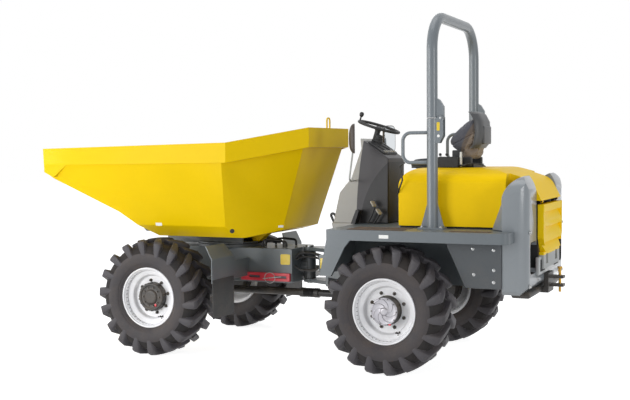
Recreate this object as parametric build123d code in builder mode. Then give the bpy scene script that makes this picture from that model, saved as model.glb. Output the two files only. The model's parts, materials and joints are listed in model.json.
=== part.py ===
"""Site dumper with an articulated chassis, a swivel skip and a folding roll hoop.

Millimetres, +X forward, +Y left, +Z up. The origin is on the ground under the
articulation pin. Each sub-part is one BuildPart, written as one STEP file.
"""

from build123d import *
import math
import os

os.makedirs("parts", exist_ok=True)

# ---------------------------------------------------------------- driving sizes
# wheels and axles
TYRE_R = 537.5            # over the lugs
TYRE_W = 400.0            # section width
LUG_H = 32.0              # lugs above the tread
LUG_PITCHES = 18          # lugs on each side of a tyre
TYRE_FLATS = 36           # flat facets round the carcass
RIM_SEAT_R = 254.0        # bead seat, 20 inch rim
RIM_FLANGE_R = 279.0
RIM_W = 330.0
TRACK_HALF = 828.0        # middle of a tyre from the centre line
FRONT_AXLE_X = 1190.0
REAR_AXLE_X = -1120.0
AXLE_Z = TYRE_R
AXLE_TUBE_R = 62.0
DIFF_R = 150.0
NOSE_LENGTH = 195.0
SHAFT_Z = 515.0
SHAFT_R = 35.0
HUB_FACE_Y = 752.0        # where the wheel disc sits on the hub
DISC_T = 14.0
DISC_R = 182.0
HUB_R = 118.0             # hub drum through the middle of the disc
HUB_COVER_R = 108.0
HUB_REACH = 90.0          # end of the hub cover beyond the disc's seat

# gaps
FIT = 0.4                 # pin in its hole, on radius
GAP = 6.0                 # between pieces that move past each other

# front chassis
FRAME_HALF = 250.0
FRAME_X = (70.0, 1480.0)
FRAME_Z = (630.0, 955.0)
FRAME_PLATE = 16.0
GUARD_X = 530.0
GUARD_Y = (FRAME_HALF, 950.0)
GUARD_T = 8.0
GUARD_CUT = (
    # half width        z of the cut over a mudguard's bracket
    (GUARD_Y[0] - 1, 862),
    (515, 862),
    (632, 1040),
    (GUARD_Y[0] - 1, 1040),
)
LOCK_BAR_Z = 685.0
OSC_Z = 790.0             # oscillation axis
TRUNNION_R = 70.0

# articulation
PIN_R = 27.0
KNUCKLE_R = 60.0
KNUCKLE_HALF = 128.0      # half height of the block between the fork plates
LUG_T = 34.0
LUG_MID = KNUCKLE_HALF + GAP + LUG_T / 2
ARM_X = FRAME_X[0] - GAP
ARM_Y = -292.0            # inner edge of the steering arm beside the frame
ARM_T = 24.0
ARM_TOP = OSC_Z - KNUCKLE_HALF + ARM_T
ARM_EDGE = 32.0           # arm beyond the middle of the rod eye
STEER_ARM = (150.0, -355.0)      # rod eye on the pivot block, plan
STEER_ANCHOR = (-560.0, -375.0)  # barrel eye on the rear chassis, plan
STEER_Z = OSC_Z - 66.0
STEER_BARREL_R = 30.0
STEER_ROD_R = 17.0
STEER_PIN_R = 14.0

# swivel and tip
SWIVEL_X = 850.0
RING_R = 330.0
RACE_R = 235.0
RING_T = 26.0
SWIVEL_Z = FRAME_Z[1] + RING_T + GAP    # underside of the swivel frame
SWIVEL_PLATE = 14.0
RAIL_Y = (214.0, 238.0)
TIP_X = 1752.0
TIP_Z = 1200.0
ARM_RISE_X = 1440.0       # the swivel frame's arms rise here, inside the tyres
ARM_CLEAR_Z = 2 * TYRE_R + 10.0  # underside of the arms where they pass over the tyres
TIP_BOSS_R = 44.0
TIP_PIN_R = 20.0
RAM_EYE = (560.0, 1022.0)        # rod eye under the skip
RAM_ANCHOR = (1400.0, 1038.0)    # barrel eye in the swivel frame
RAM_R = 36.0
RAM_ROD_R = 22.0

# skip
WALL = 8.0
SKIP_BOTTOM_Z = 1082.0
CREASE = (767.0, 1190.0)         # half width and height of the lower crease
QUARTER_FOOT = (70.0, 400.0, 1210.0)  # where a rear quarter panel meets the rear panel's foot
FLARE_TOP = (930.0, 1770.0)
BOTTOM_HALF = 640.0
SKIP_TOP_HALF = 950.0
RIM_BAND = 180.0
RIM_T = 24.0
LIP = (2405.0, 1916.0)
BEND = (380.0, 1955.0)
HEEL = (-215.0, 2087.0)
HEEL_HALF = 470.0
EYE_HOLE_R = 22.0

# rear chassis
RAIL_HALF = 285.0
RAIL_T = 20.0
REAR_X = (-2040.0, -290.0)
REAR_Z = (690.0, 1120.0)
DECK_X = (-2040.0, -600.0)
DECK_TAIL_X = -2160.0     # rounded tongues of the deck beside the counterweight
TYRE_ROOM = 45.0          # between the rear tyres and the deck
DECK_EDGE = 90.0
DECK_Z = (2 * TYRE_R + TYRE_ROOM, 2 * TYRE_R + TYRE_ROOM + DECK_EDGE)
DECK_HALF = 975.0
DECK_PLATE = 12.0
DECK_RIM_T = 30.0
ARM_FOOT_Z = 812.0        # foot of the deck's slanting front arm
ARM_ROOM = 15.0           # between that foot and the tyre
BOX_Z = (738.0, DECK_Z[0])
BOX_HALF = 770.0
BALLAST_X = (-2262.0, -2055.0)
BALLAST_HALF = 755.0
BALLAST_Z = (690.0, 1655.0)
WINDOW_HALF = 415.0       # opening of the counterweight round the grille
LAMP_Y = (500.0, 648.0)   # lamp, and the outer edge of its recess
LAMP_Z = (850.0, 1115.0)
LAMP_DEPTH = 64.0
GRILLE_X = (-2318.0, -2268.0)
GRILLE_Z = (870.0, 1412.0)
GRILLE_HALF = 395.0
HITCH_PIN = (-2376.0, 735.0)
HITCH_PIN_R = 12.5
HITCH_TIP_R = 11.0        # free end of the pin, under the lower plate
HITCH_TIP = 45.0
HITCH_PLATE = 22.0
HITCH_PIN_TOP = 124.0     # top of the pin over the middle of the hitch
HITCH_GAP = 50.0

# hood and seat
HOOD_HALF = 572.0
HOOD_SKIN = 10.0
HOOD_FLOOR = DECK_Z[1] + 16.0
HOOD_TOP = 1718.0
HOOD_TAIL_HALF = 405.0
HOOD_HINGE = (-2285.0, 1434.0)
SEAM_TOP = (-2041.0, 1445.0)     # slanted seam between hood and counterweight
SEAM_FOOT_X = -1935.0
SEAM_GAP = 14.0
SEAT_Z = HOOD_TOP
SEAT_W = 470.0

# cab area
CONSOLE_HALF = 215.0
WHEEL_CENTRE = (-715.0, 2089.0)
WHEEL_R = 190.0
WHEEL_TILT = 17.7
MIRROR_Y = 455.0

# roll hoop
POST_X = -1436.0
POST_Y = 645.0
POST_R = 46.0
POST_SEAM_Z = 2140.0
HOOP_TOP_Z = 3050.0
HOOP_BEND_R = 290.0
FOLD_X = POST_X - POST_R - 36.0
FOLD_Z = POST_SEAM_Z


# -------------------------------------------------------------- small helpers
def save(part, name):
    """Labels one finished sub-part and writes its STEP file."""
    part.label = name
    export_step(part, f"parts/{name}.step")


def block(x, y, z, mode=Mode.ADD):
    """Box between three (low, high) pairs."""
    centre = (sum(x) / 2, sum(y) / 2, sum(z) / 2)
    with Locations(centre):
        Box(x[1] - x[0], y[1] - y[0], z[1] - z[0], mode=mode)


def prism(points, y, mode=Mode.ADD):
    """Side profile, as (x, z) points, between two values of y."""
    with BuildSketch(Plane.XZ.offset(-y[1])) as outline:
        with BuildLine():
            Polyline(*points, close=True)
        make_face()
    extrude(outline.sketch, amount=y[1] - y[0], mode=mode)


def slab(points, z, mode=Mode.ADD):
    """Plan profile, as (x, y) points, between two values of z."""
    with BuildSketch(Plane.XY.offset(z[0])) as outline:
        with BuildLine():
            Polyline(*points, close=True)
        make_face()
    extrude(outline.sketch, amount=z[1] - z[0], mode=mode)


def rod_y(x, z, y, radius, mode=Mode.ADD):
    """Round bar along Y."""
    with BuildSketch(Plane.XZ.offset(-y[1])) as outline:
        with Locations((x, z)):
            Circle(radius)
    extrude(outline.sketch, amount=y[1] - y[0], mode=mode)


def rod_x(y, z, x, radius, mode=Mode.ADD):
    """Round bar along X."""
    with BuildSketch(Plane.YZ.offset(x[0])) as outline:
        with Locations((y, z)):
            Circle(radius)
    extrude(outline.sketch, amount=x[1] - x[0], mode=mode)


def rod_z(x, y, z, radius, mode=Mode.ADD):
    """Round bar along Z."""
    with BuildSketch(Plane.XY.offset(z[0])) as outline:
        with Locations((x, y)):
            Circle(radius)
    extrude(outline.sketch, amount=z[1] - z[0], mode=mode)


def pipe(points, radius, bend):
    """Tube of one radius along straight runs joined by arcs."""
    with BuildLine() as path:
        FilletPolyline(*points, radius=bend)
    with BuildSketch(Plane(origin=path.line @ 0, z_dir=path.line % 0)) as ring:
        Circle(radius)
    sweep(ring.sketch, path=path.line)


# ---------------------------------------------------------------------- wheels
TREAD_R = TYRE_R - LUG_H
CARCASS = (
    # radius            out from the middle plane
    (RIM_SEAT_R, RIM_W / 2 - 20),
    (RIM_FLANGE_R, RIM_W / 2 - 12),
    (RIM_FLANGE_R + 2, RIM_W / 2),
    (RIM_FLANGE_R + 38, TYRE_W / 2 - 8),
    (TREAD_R - 120, TYRE_W / 2),
    (TREAD_R - 80, TYRE_W / 2 - 3),
    (TREAD_R - 32, TYRE_W / 2 - 22),
    (TREAD_R - 6, TYRE_W / 2 - 54),
    (TREAD_R, TYRE_W / 2 - 90),
)
LUG_PLAN = (
    # along the tread  out from the middle plane
    (-84, -8),
    (-34, -8),
    (34, 92),
    (72, TYRE_W / 2 - 4),
    (-2, TYRE_W / 2 - 4),
    (-28, 108),
)
LUG_SLOPE = (
    # radius            out from the middle plane
    (TYRE_R + 1, TYRE_W / 2 - 38),
    (TYRE_R + 1, TYRE_W / 2 + 1),
    (TREAD_R - 76, TYRE_W / 2 + 1),
    (TREAD_R - 76, TYRE_W / 2 - 4),
)


def carcass_flat():
    """One flat of the carcass, a wedge between two planes through the wheel's axis."""
    half_turn = math.radians(180 / TYRE_FLATS)
    with BuildPart() as wedge:
        with BuildSketch(Plane.XZ):
            with BuildLine():
                Polyline(*CARCASS, *[(r, -out) for r, out in reversed(CARCASS)], close=True)
            make_face()
        extrude(amount=TYRE_R * math.tan(half_turn) + 1, both=True)
        for side in (-1, 1):
            outwards = (-math.sin(half_turn), side * math.cos(half_turn), 0)
            split(bisect_by=Plane(origin=(0, 0, 0), z_dir=outwards), keep=Keep.BOTTOM)
    return wedge.part


def tread_lug():
    """One slanting lug, flat on top, its end sloped down onto the side wall."""
    longest = max(abs(along_tread) for along_tread, _ in LUG_PLAN)
    top = math.sqrt(TYRE_R**2 - longest**2)
    with BuildPart() as lug:
        with BuildSketch(Plane.YZ.offset(top)):
            with BuildLine():
                Polyline(*LUG_PLAN, close=True)
            make_face()
        extrude(amount=TREAD_R - 90 - top)
        with BuildSketch(Plane.XZ):
            with BuildLine():
                Polyline(*LUG_SLOPE, close=True)
            make_face()
        extrude(amount=2 * longest, both=True, mode=Mode.SUBTRACT)
    return lug.part


def lugged_tyre():
    """Faceted carcass with two staggered rows of lugs, round the local Z axis."""
    flat = carcass_flat()
    outer_lug = tread_lug()
    inner_lug = outer_lug.mirror(Plane.XY).rotate(Axis.Z, 180 / LUG_PITCHES)
    with BuildPart() as ring:
        with PolarLocations(0, TYRE_FLATS):
            add(flat)
        with PolarLocations(0, LUG_PITCHES):
            add(outer_lug)
            add(inner_lug)
    return ring.part


SEAT_OUT = HUB_FACE_Y - TRACK_HALF     # disc seat, out from the middle plane of the wheel
RIM_PROFILE = (
    # radius            out from the middle plane
    (0, SEAT_OUT),
    (DISC_R, SEAT_OUT),
    (RIM_SEAT_R - 26, SEAT_OUT - 30),
    (RIM_SEAT_R - 12, SEAT_OUT - 44),
    (RIM_SEAT_R - 8, -RIM_W / 2),
    (RIM_FLANGE_R, -RIM_W / 2),
    (RIM_FLANGE_R, -RIM_W / 2 + 12),
    (RIM_SEAT_R, -RIM_W / 2 + 20),
    (RIM_SEAT_R, RIM_W / 2 - 20),
    (RIM_FLANGE_R, RIM_W / 2 - 12),
    (RIM_FLANGE_R, RIM_W / 2),
    (RIM_SEAT_R + 6, RIM_W / 2),
    (RIM_SEAT_R - 8, RIM_W / 2 - 16),
    (RIM_SEAT_R - 12, RIM_W / 2 - 46),
    (RIM_SEAT_R - 22, RIM_W / 2 - 54),
    (RIM_SEAT_R - 28, 20),
    (RIM_SEAT_R - 42, 4),
    (DISC_R + 12, SEAT_OUT + 30),
    (DISC_R, SEAT_OUT + DISC_T),
    (HUB_R, SEAT_OUT + DISC_T),
    (HUB_R, SEAT_OUT + HUB_REACH - 22),
    (HUB_COVER_R, SEAT_OUT + HUB_REACH - 22),
    (HUB_COVER_R, SEAT_OUT + HUB_REACH - 6),
    (HUB_COVER_R - 10, SEAT_OUT + HUB_REACH),
    (0, SEAT_OUT + HUB_REACH),
)


def rim_with_hub():
    """Stepped dish rim with its disc and hub drum, outer side towards local +Z."""
    with BuildPart() as dish:
        with BuildSketch(Plane.XZ):
            with BuildLine():
                Polyline(*RIM_PROFILE, close=True)
            make_face()
        revolve(axis=Axis.Z)
    return dish.part


WHEELS = (
    # place          axle x          side
    ("front_left", FRONT_AXLE_X, 1),
    ("front_right", FRONT_AXLE_X, -1),
    ("rear_left", REAR_AXLE_X, 1),
    ("rear_right", REAR_AXLE_X, -1),
)
tyre_shape = lugged_tyre()
rim_shape = rim_with_hub()
for place, axle_x, side in WHEELS:
    centre = (axle_x, side * TRACK_HALF, AXLE_Z)
    save(tyre_shape.rotate(Axis.X, 90).translate(centre), f"tyre_{place}")
    save(rim_shape.rotate(Axis.X, -90 * side).translate(centre), f"rim_{place}")


HUB_FLANGE_R = 168.0
AXLE_PROFILE = (
    # out from the centre  radius
    (0, DIFF_R),
    (64, DIFF_R - 8),
    (120, DIFF_R - 42),
    (190, AXLE_TUBE_R + 14),
    (300, AXLE_TUBE_R),
    (560, AXLE_TUBE_R),
    (610, HUB_FLANGE_R - 28),
    (HUB_FACE_Y - 40, HUB_FLANGE_R - 18),
    (HUB_FACE_Y - 40, HUB_FLANGE_R),
    (HUB_FACE_Y - 0.3, HUB_FLANGE_R),
    (HUB_FACE_Y - 0.3, 0),
)


def axle(name, x, facing, pad_top, pad_y):
    """Beam axle with its banjo housing, pinion nose, hub flanges and mounting pads."""
    outline = [(y, r) for y, r in AXLE_PROFILE] + [(-y, r) for y, r in reversed(AXLE_PROFILE[1:])]
    with BuildPart() as beam:
        with BuildSketch(Plane.YZ.offset(x)):
            with BuildLine():
                Polyline(*[(y, AXLE_Z + r) for y, r in outline], close=True)
            make_face()
        revolve(axis=Axis((x, 0, AXLE_Z), (0, 1, 0)))
        nose = sorted((x, x + facing * NOSE_LENGTH))
        rod_x(0, SHAFT_Z, nose, 58)
        for side in (-1, 1):
            inner, outer = sorted((side * pad_y[0], side * pad_y[1]))
            block((x - 70, x + 70), (inner, outer), (AXLE_Z, pad_top))
    save(beam.part, name)


axle("front_axle", FRONT_AXLE_X, -1, FRAME_Z[0], (FRAME_HALF - FRAME_PLATE - 30, FRAME_HALF + 20))
axle("rear_axle", REAR_AXLE_X, 1, REAR_Z[0], (RAIL_HALF - RAIL_T - 25, RAIL_HALF + 25))

# --------------------------------------------------------------- front chassis
with BuildPart() as front_frame:
    block(FRAME_X, (-FRAME_HALF, FRAME_HALF), FRAME_Z)
    block(
        (FRAME_X[0] + 60, FRAME_X[1] - FRAME_PLATE),
        (-FRAME_HALF + FRAME_PLATE, FRAME_HALF - FRAME_PLATE),
        (FRAME_Z[0] - 1, FRAME_Z[1] - FRAME_PLATE),
        mode=Mode.SUBTRACT,
    )
    # the front ends of the side plates slope up to the tip pivot
    prism(
        (
            (FRAME_X[1] + 1, FRAME_Z[0] - 1),
            (FRAME_X[1] + 1, FRAME_Z[1] - 60),
            (FRAME_X[1] - 160, FRAME_Z[0] - 1),
        ),
        (-FRAME_HALF - 1, FRAME_HALF + 1),
        mode=Mode.SUBTRACT,
    )
    rod_x(0, OSC_Z, (FRAME_X[0] - 1, FRAME_X[0] + 61), TRUNNION_R + FIT, mode=Mode.SUBTRACT)
save(front_frame.part, "front_frame")

with BuildPart() as lock_bar:
    block((85, 600), (FRAME_HALF + 0.2, FRAME_HALF + 26), (LOCK_BAR_Z - 38, LOCK_BAR_Z + 38))
    for x_slot in ((120, 250), (400, 520)):
        block(x_slot, (FRAME_HALF, FRAME_HALF + 30), (LOCK_BAR_Z - 12, LOCK_BAR_Z + 12), Mode.SUBTRACT)
save(lock_bar.part, "lock_bar")

with BuildPart() as mudguards:
    for side in (-1, 1):
        inner, outer = sorted((side * GUARD_Y[0], side * GUARD_Y[1]))
        prism(
            (
                (GUARD_X, 690),
                (GUARD_X + GUARD_T, 690),
                (GUARD_X + GUARD_T, 905),
                (GUARD_X + 70, 1022),
                (GUARD_X + 70 - GUARD_T, 1026),
                (GUARD_X, 907),
            ),
            (inner, outer),
        )
        with BuildSketch(Plane.YZ.offset(GUARD_X - 1)) as cut:
            with BuildLine():
                Polyline(*[(side * y, z) for y, z in GUARD_CUT], close=True)
            make_face()
        extrude(cut.sketch, amount=90, mode=Mode.SUBTRACT)
    add(lock_bar.part, mode=Mode.SUBTRACT)
save(mudguards.part, "mudguards")

with BuildPart() as mud_flaps:
    for side in (-1, 1):
        inner, outer = sorted((side * 560, side * 948))
        block((GUARD_X - 6, GUARD_X - 0.2), (inner, outer), (370, 720))
save(mud_flaps.part, "mud_flaps")

with BuildPart() as turntable_ring:
    rod_z(SWIVEL_X, 0, (FRAME_Z[1], FRAME_Z[1] + RING_T), RING_R)
    rod_z(SWIVEL_X, 0, (FRAME_Z[1] - 1, FRAME_Z[1] + RING_T + 1), RACE_R, mode=Mode.SUBTRACT)
save(turntable_ring.part, "turntable_ring")

# ---------------------------------------------------------- articulation joint
with BuildPart() as pivot_block:
    rod_z(0, 0, (OSC_Z - KNUCKLE_HALF, OSC_Z + KNUCKLE_HALF), KNUCKLE_R)
    rod_x(0, OSC_Z, (0, FRAME_X[0] + 50), TRUNNION_R)
    # arm on the right for the steering ram
    slab(
        (
            (-KNUCKLE_R * 0.66, -KNUCKLE_R * 0.66),
            (KNUCKLE_R * 0.8, -KNUCKLE_R * 0.66),
            (ARM_X, -2 * KNUCKLE_R),
            (ARM_X, ARM_Y),
            (STEER_ARM[0] + ARM_EDGE, ARM_Y),
            (STEER_ARM[0] + ARM_EDGE, STEER_ARM[1] - ARM_EDGE),
            (ARM_X - 4, STEER_ARM[1] - ARM_EDGE),
            (-KNUCKLE_R / 3, ARM_Y + 36),
        ),
        (ARM_TOP - ARM_T, ARM_TOP),
    )
    rod_z(
        0,
        0,
        (OSC_Z - KNUCKLE_HALF - 1, OSC_Z + KNUCKLE_HALF + 1),
        PIN_R + FIT,
        mode=Mode.SUBTRACT,
    )
save(pivot_block.part, "pivot_block")

# ------------------------------------------------------------------- driveline
SHAFTS = (
    # name               inner end  outer end
    ("front_driveshaft", 52, FRONT_AXLE_X - NOSE_LENGTH),
    ("rear_driveshaft", -52, REAR_AXLE_X + NOSE_LENGTH),
)
for name, inner_x, outer_x in SHAFTS:
    with BuildPart() as driveshaft:
        rod_x(0, SHAFT_Z, sorted((inner_x, outer_x)), SHAFT_R)
        rod_x(0, SHAFT_Z, sorted((inner_x, inner_x + math.copysign(45, inner_x))), SHAFT_R + 11)
    save(driveshaft.part, name)

# ---------------------------------------------------------------- swivel frame
with BuildPart() as swivel_frame:
    rod_z(SWIVEL_X, 0, (SWIVEL_Z, SWIVEL_Z + SWIVEL_PLATE), RING_R)
    block((SWIVEL_X, SWIVEL_X + 580), (-RAIL_Y[1], RAIL_Y[1]), (SWIVEL_Z, SWIVEL_Z + SWIVEL_PLATE))
    # inner race, inside the ring on the front frame
    rod_z(SWIVEL_X, 0, (FRAME_Z[1] + GAP, SWIVEL_Z + 1), RACE_R - FIT)
    rod_z(SWIVEL_X, 0, (FRAME_Z[1] + GAP - 1, SWIVEL_Z), RACE_R - 25, mode=Mode.SUBTRACT)
    block((430, 1360), (-58, 58), (SWIVEL_Z - 1, SWIVEL_Z + SWIVEL_PLATE + 1), mode=Mode.SUBTRACT)
    for side in (-1, 1):
        inner, outer = sorted((side * RAIL_Y[0], side * RAIL_Y[1]))
        prism(
            (
                (600, SWIVEL_Z),
                (ARM_RISE_X, SWIVEL_Z),
                (ARM_RISE_X, ARM_CLEAR_Z),
                (TIP_X - 60, ARM_CLEAR_Z),
                (TIP_X + TIP_BOSS_R * 0.8, TIP_Z - TIP_BOSS_R * 0.6),
                (TIP_X - TIP_BOSS_R * 0.57, TIP_Z + TIP_BOSS_R * 0.82),
                (1275, 1068),
                (600, 1068),
            ),
            (inner, outer),
        )
        rod_y(TIP_X, TIP_Z, (inner, outer), TIP_BOSS_R)
        rod_y(TIP_X, TIP_Z, (inner - 1, outer + 1), TIP_PIN_R, mode=Mode.SUBTRACT)
        # cheeks that hold the ram barrel
        inner, outer = sorted((side * 42, side * 54))
        block((1340, 1440), (inner, outer), (SWIVEL_Z, 1070))
        rod_y(*RAM_ANCHOR, (inner - 1, outer + 1), 16, mode=Mode.SUBTRACT)
save(swivel_frame.part, "swivel_frame")

with BuildPart() as tip_pins:
    for side in (-1, 1):
        inner, outer = sorted((side * 150, side * (RAIL_Y[1] + 8)))
        rod_y(TIP_X, TIP_Z, (inner, outer), TIP_PIN_R)
        inner, outer = sorted((side * (RAIL_Y[1] + 0.2), side * (RAIL_Y[1] + 8)))
        rod_y(TIP_X, TIP_Z, (inner, outer), TIP_PIN_R + 10)
    rod_y(*RAM_ANCHOR, (-60, 60), 16)
save(tip_pins.part, "tip_pins")

# ------------------------------------------------------------------------ skip
SKIP_SIDE = (
    # x     z, from the lip round the bottom to the heel
    (LIP[0], LIP[1]),
    (LIP[0] - 10, 1687),
    (2310, 1628),
    (1620, 1311),
    (1280, SKIP_BOTTOM_Z),
    (365, SKIP_BOTTOM_Z),
    (90, 1146),
    (70, 1218),
    (HEEL[0], HEEL[1]),
    (BEND[0], BEND[1]),
)
SKIP_SECTION = (
    # half width  z
    (BOTTOM_HALF, SKIP_BOTTOM_Z),
    CREASE,
    FLARE_TOP,
    (FLARE_TOP[0], 2400),
)
RISE = 300.0


def raised(points):
    """Side profile with its top edge lifted, so that an inner body cuts clear through."""
    tops = (LIP, HEEL, BEND)
    return [(x, z + RISE) if (x, z) in tops else (x, z) for x, z in points]


def quarter_plane(side, inset):
    """Plane of a rear quarter panel, moved inwards by inset."""
    bend = Vector(BEND[0], side * SKIP_TOP_HALF, BEND[1])
    heel = Vector(HEEL[0], side * HEEL_HALF, HEEL[1])
    foot = Vector(QUARTER_FOOT[0], side * QUARTER_FOOT[1], QUARTER_FOOT[2])
    normal = (heel - bend).cross(foot - bend).normalized()
    if normal.X > 0:
        normal = normal * -1
    return Plane(origin=bend - normal * inset, z_dir=normal)


def skip_body(points, inset):
    """Convex body of the skip, each face moved inwards by inset."""
    section = [(w, z) for w, z in SKIP_SECTION] + [(-w, z) for w, z in reversed(SKIP_SECTION)]
    with BuildPart() as body:
        with BuildSketch(Plane.XZ) as side_outline:
            with BuildLine():
                Polyline(*points, close=True)
            make_face()
            if inset:
                offset(amount=-inset, kind=Kind.INTERSECTION)
        extrude(amount=1200, both=True)
        with BuildSketch(Plane.YZ) as cross_outline:
            with BuildLine():
                Polyline(*section, close=True)
            make_face()
            if inset:
                offset(amount=-inset, kind=Kind.INTERSECTION)
        extrude(amount=2600, both=True, mode=Mode.INTERSECT)
        for side in (-1, 1):
            split(bisect_by=quarter_plane(side, inset), keep=Keep.BOTTOM)
    return body.part


PLAN = (
    # x            half width of the top rim
    (LIP[0], SKIP_TOP_HALF - 25),
    (BEND[0], SKIP_TOP_HALF),
    (HEEL[0], HEEL_HALF),
)
rim_plan = [(x, w) for x, w in PLAN] + [(x, -w) for x, w in reversed(PLAN)]

with BuildPart() as rim_band:
    with BuildSketch(Plane.XY.offset(1500)):
        with BuildLine():
            Polyline(*rim_plan, close=True)
        make_face()
        offset(amount=-RIM_T, kind=Kind.INTERSECTION, mode=Mode.SUBTRACT)
    extrude(amount=800)
    with BuildSketch(Plane.XZ):
        with BuildLine():
            Polyline(
                LIP,
                BEND,
                HEEL,
                (HEEL[0], HEEL[1] - RIM_BAND),
                (BEND[0], BEND[1] - RIM_BAND),
                (2133, 1759),
                (2289, 1640),
                (LIP[0] - 6, 1690),
                close=True,
            )
        make_face()
    extrude(amount=1200, both=True, mode=Mode.INTERSECT)

outer_body = skip_body(SKIP_SIDE, 0)
inner_body = skip_body(raised(SKIP_SIDE), WALL)

with BuildPart() as skip:
    add(outer_body)
    add(rim_band.part)
    add(inner_body, mode=Mode.SUBTRACT)
    # hinge lugs and tube under the front slope
    for side in (-1, 1):
        inner, outer = sorted((side * 176, side * 206))
        prism(
            (
                (TIP_X - 36, TIP_Z - 22),
                (TIP_X + 36, TIP_Z - 22),
                (TIP_X + 98, 1420),
                (TIP_X - 112, 1322),
            ),
            (inner, outer),
        )
    rod_y(TIP_X, TIP_Z, (-206, 206), 38)
    rod_y(TIP_X, TIP_Z, (-207, 207), TIP_PIN_R + FIT, mode=Mode.SUBTRACT)
    # ear for the ram under the heel end of the floor
    for side in (-1, 1):
        inner, outer = sorted((side * 36, side * 52))
        prism(
            (
                (RAM_EYE[0] - 150, SKIP_BOTTOM_Z + 4),
                (RAM_EYE[0] - 30, RAM_EYE[1] - 28),
                (RAM_EYE[0] + 22, RAM_EYE[1] - 28),
                (RAM_EYE[0] + 60, SKIP_BOTTOM_Z + 4),
            ),
            (inner, outer),
        )
        inner, outer = sorted((side * 36, side * 66))
        rod_y(*RAM_EYE, (inner, outer), 17)
save(skip.part, "skip")

with BuildPart() as lifting_eye:
    with BuildSketch(Plane.YZ.offset(HEEL[0] + 22)):
        with Locations((-50, HEEL[1] + 62)):
            Circle(42)
        with Locations((-50, HEEL[1] + 20)):
            Rectangle(84, 84)
        with Locations((-50, HEEL[1] + 62)):
            Circle(EYE_HOLE_R, mode=Mode.SUBTRACT)
    extrude(amount=20)
    add(skip.part, mode=Mode.SUBTRACT)
save(lifting_eye.part, "lifting_eye")

# --------------------------------------------------------------------- tip ram
ram_dx = RAM_EYE[0] - RAM_ANCHOR[0]
ram_dz = RAM_EYE[1] - RAM_ANCHOR[1]
ram_length = math.hypot(ram_dx, ram_dz)
ram_dir = Vector(ram_dx / ram_length, 0, ram_dz / ram_length)


def along(origin, direction, distance):
    """Point at a distance from origin in a direction."""
    return origin + direction * distance


def bar(start, end, radius, mode=Mode.ADD):
    """Round bar between two points."""
    with BuildSketch(Plane(origin=start, z_dir=end - start)) as outline:
        Circle(radius)
    extrude(outline.sketch, amount=(end - start).length, mode=mode)


ram_anchor = Vector(RAM_ANCHOR[0], 0, RAM_ANCHOR[1])
ram_eye = Vector(RAM_EYE[0], 0, RAM_EYE[1])
RAM_BARREL = 640.0

with BuildPart() as tip_barrel:
    bar(along(ram_anchor, ram_dir, 10), along(ram_anchor, ram_dir, 60), 24)
    bar(along(ram_anchor, ram_dir, 50), along(ram_anchor, ram_dir, RAM_BARREL), RAM_R)
    rod_y(*RAM_ANCHOR, (-34, 34), 30)
    rod_y(*RAM_ANCHOR, (-35, 35), 16 + FIT, mode=Mode.SUBTRACT)
    bar(
        along(ram_anchor, ram_dir, 70),
        along(ram_anchor, ram_dir, RAM_BARREL + 1),
        RAM_ROD_R + FIT,
        mode=Mode.SUBTRACT,
    )
save(tip_barrel.part, "tip_barrel")

with BuildPart() as tip_rod:
    bar(along(ram_anchor, ram_dir, 330), along(ram_anchor, ram_dir, ram_length - 20), RAM_ROD_R)
    rod_y(*RAM_EYE, (-28, 28), 26)
save(tip_rod.part, "tip_rod")

# ---------------------------------------------------------------- steering ram
steer_anchor = Vector(STEER_ANCHOR[0], STEER_ANCHOR[1], STEER_Z)
steer_eye = Vector(STEER_ARM[0], STEER_ARM[1], STEER_Z)
steer_length = (steer_eye - steer_anchor).length
steer_dir = (steer_eye - steer_anchor).normalized()
STEER_BARREL = 484.0
STEER_WALL = (56.0, 62.0)  # back wall of the barrel, along the ram
STEER_STROKE = 200.0      # each way from rest

with BuildPart() as steer_barrel:
    bar(along(steer_anchor, steer_dir, 10), along(steer_anchor, steer_dir, 60), 18)
    bar(
        along(steer_anchor, steer_dir, STEER_WALL[0]),
        along(steer_anchor, steer_dir, STEER_BARREL),
        STEER_BARREL_R,
    )
    rod_z(*STEER_ANCHOR, (STEER_Z - 24, STEER_Z + 24), STEER_PIN_R + 12)
    rod_z(*STEER_ANCHOR, (STEER_Z - 25, STEER_Z + 25), STEER_PIN_R + FIT, mode=Mode.SUBTRACT)
    bar(
        along(steer_anchor, steer_dir, STEER_WALL[1]),
        along(steer_anchor, steer_dir, STEER_BARREL + 1),
        STEER_ROD_R + FIT,
        mode=Mode.SUBTRACT,
    )
save(steer_barrel.part, "steer_barrel")

with BuildPart() as steer_rod:
    bar(
        along(steer_anchor, steer_dir, STEER_WALL[1] + STEER_STROKE + 3),
        along(steer_anchor, steer_dir, steer_length - 15),
        STEER_ROD_R,
    )
    rod_z(*STEER_ARM, (ARM_TOP + FIT, STEER_Z + STEER_ROD_R), STEER_ROD_R + 7)
save(steer_rod.part, "steer_rod")

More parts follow.
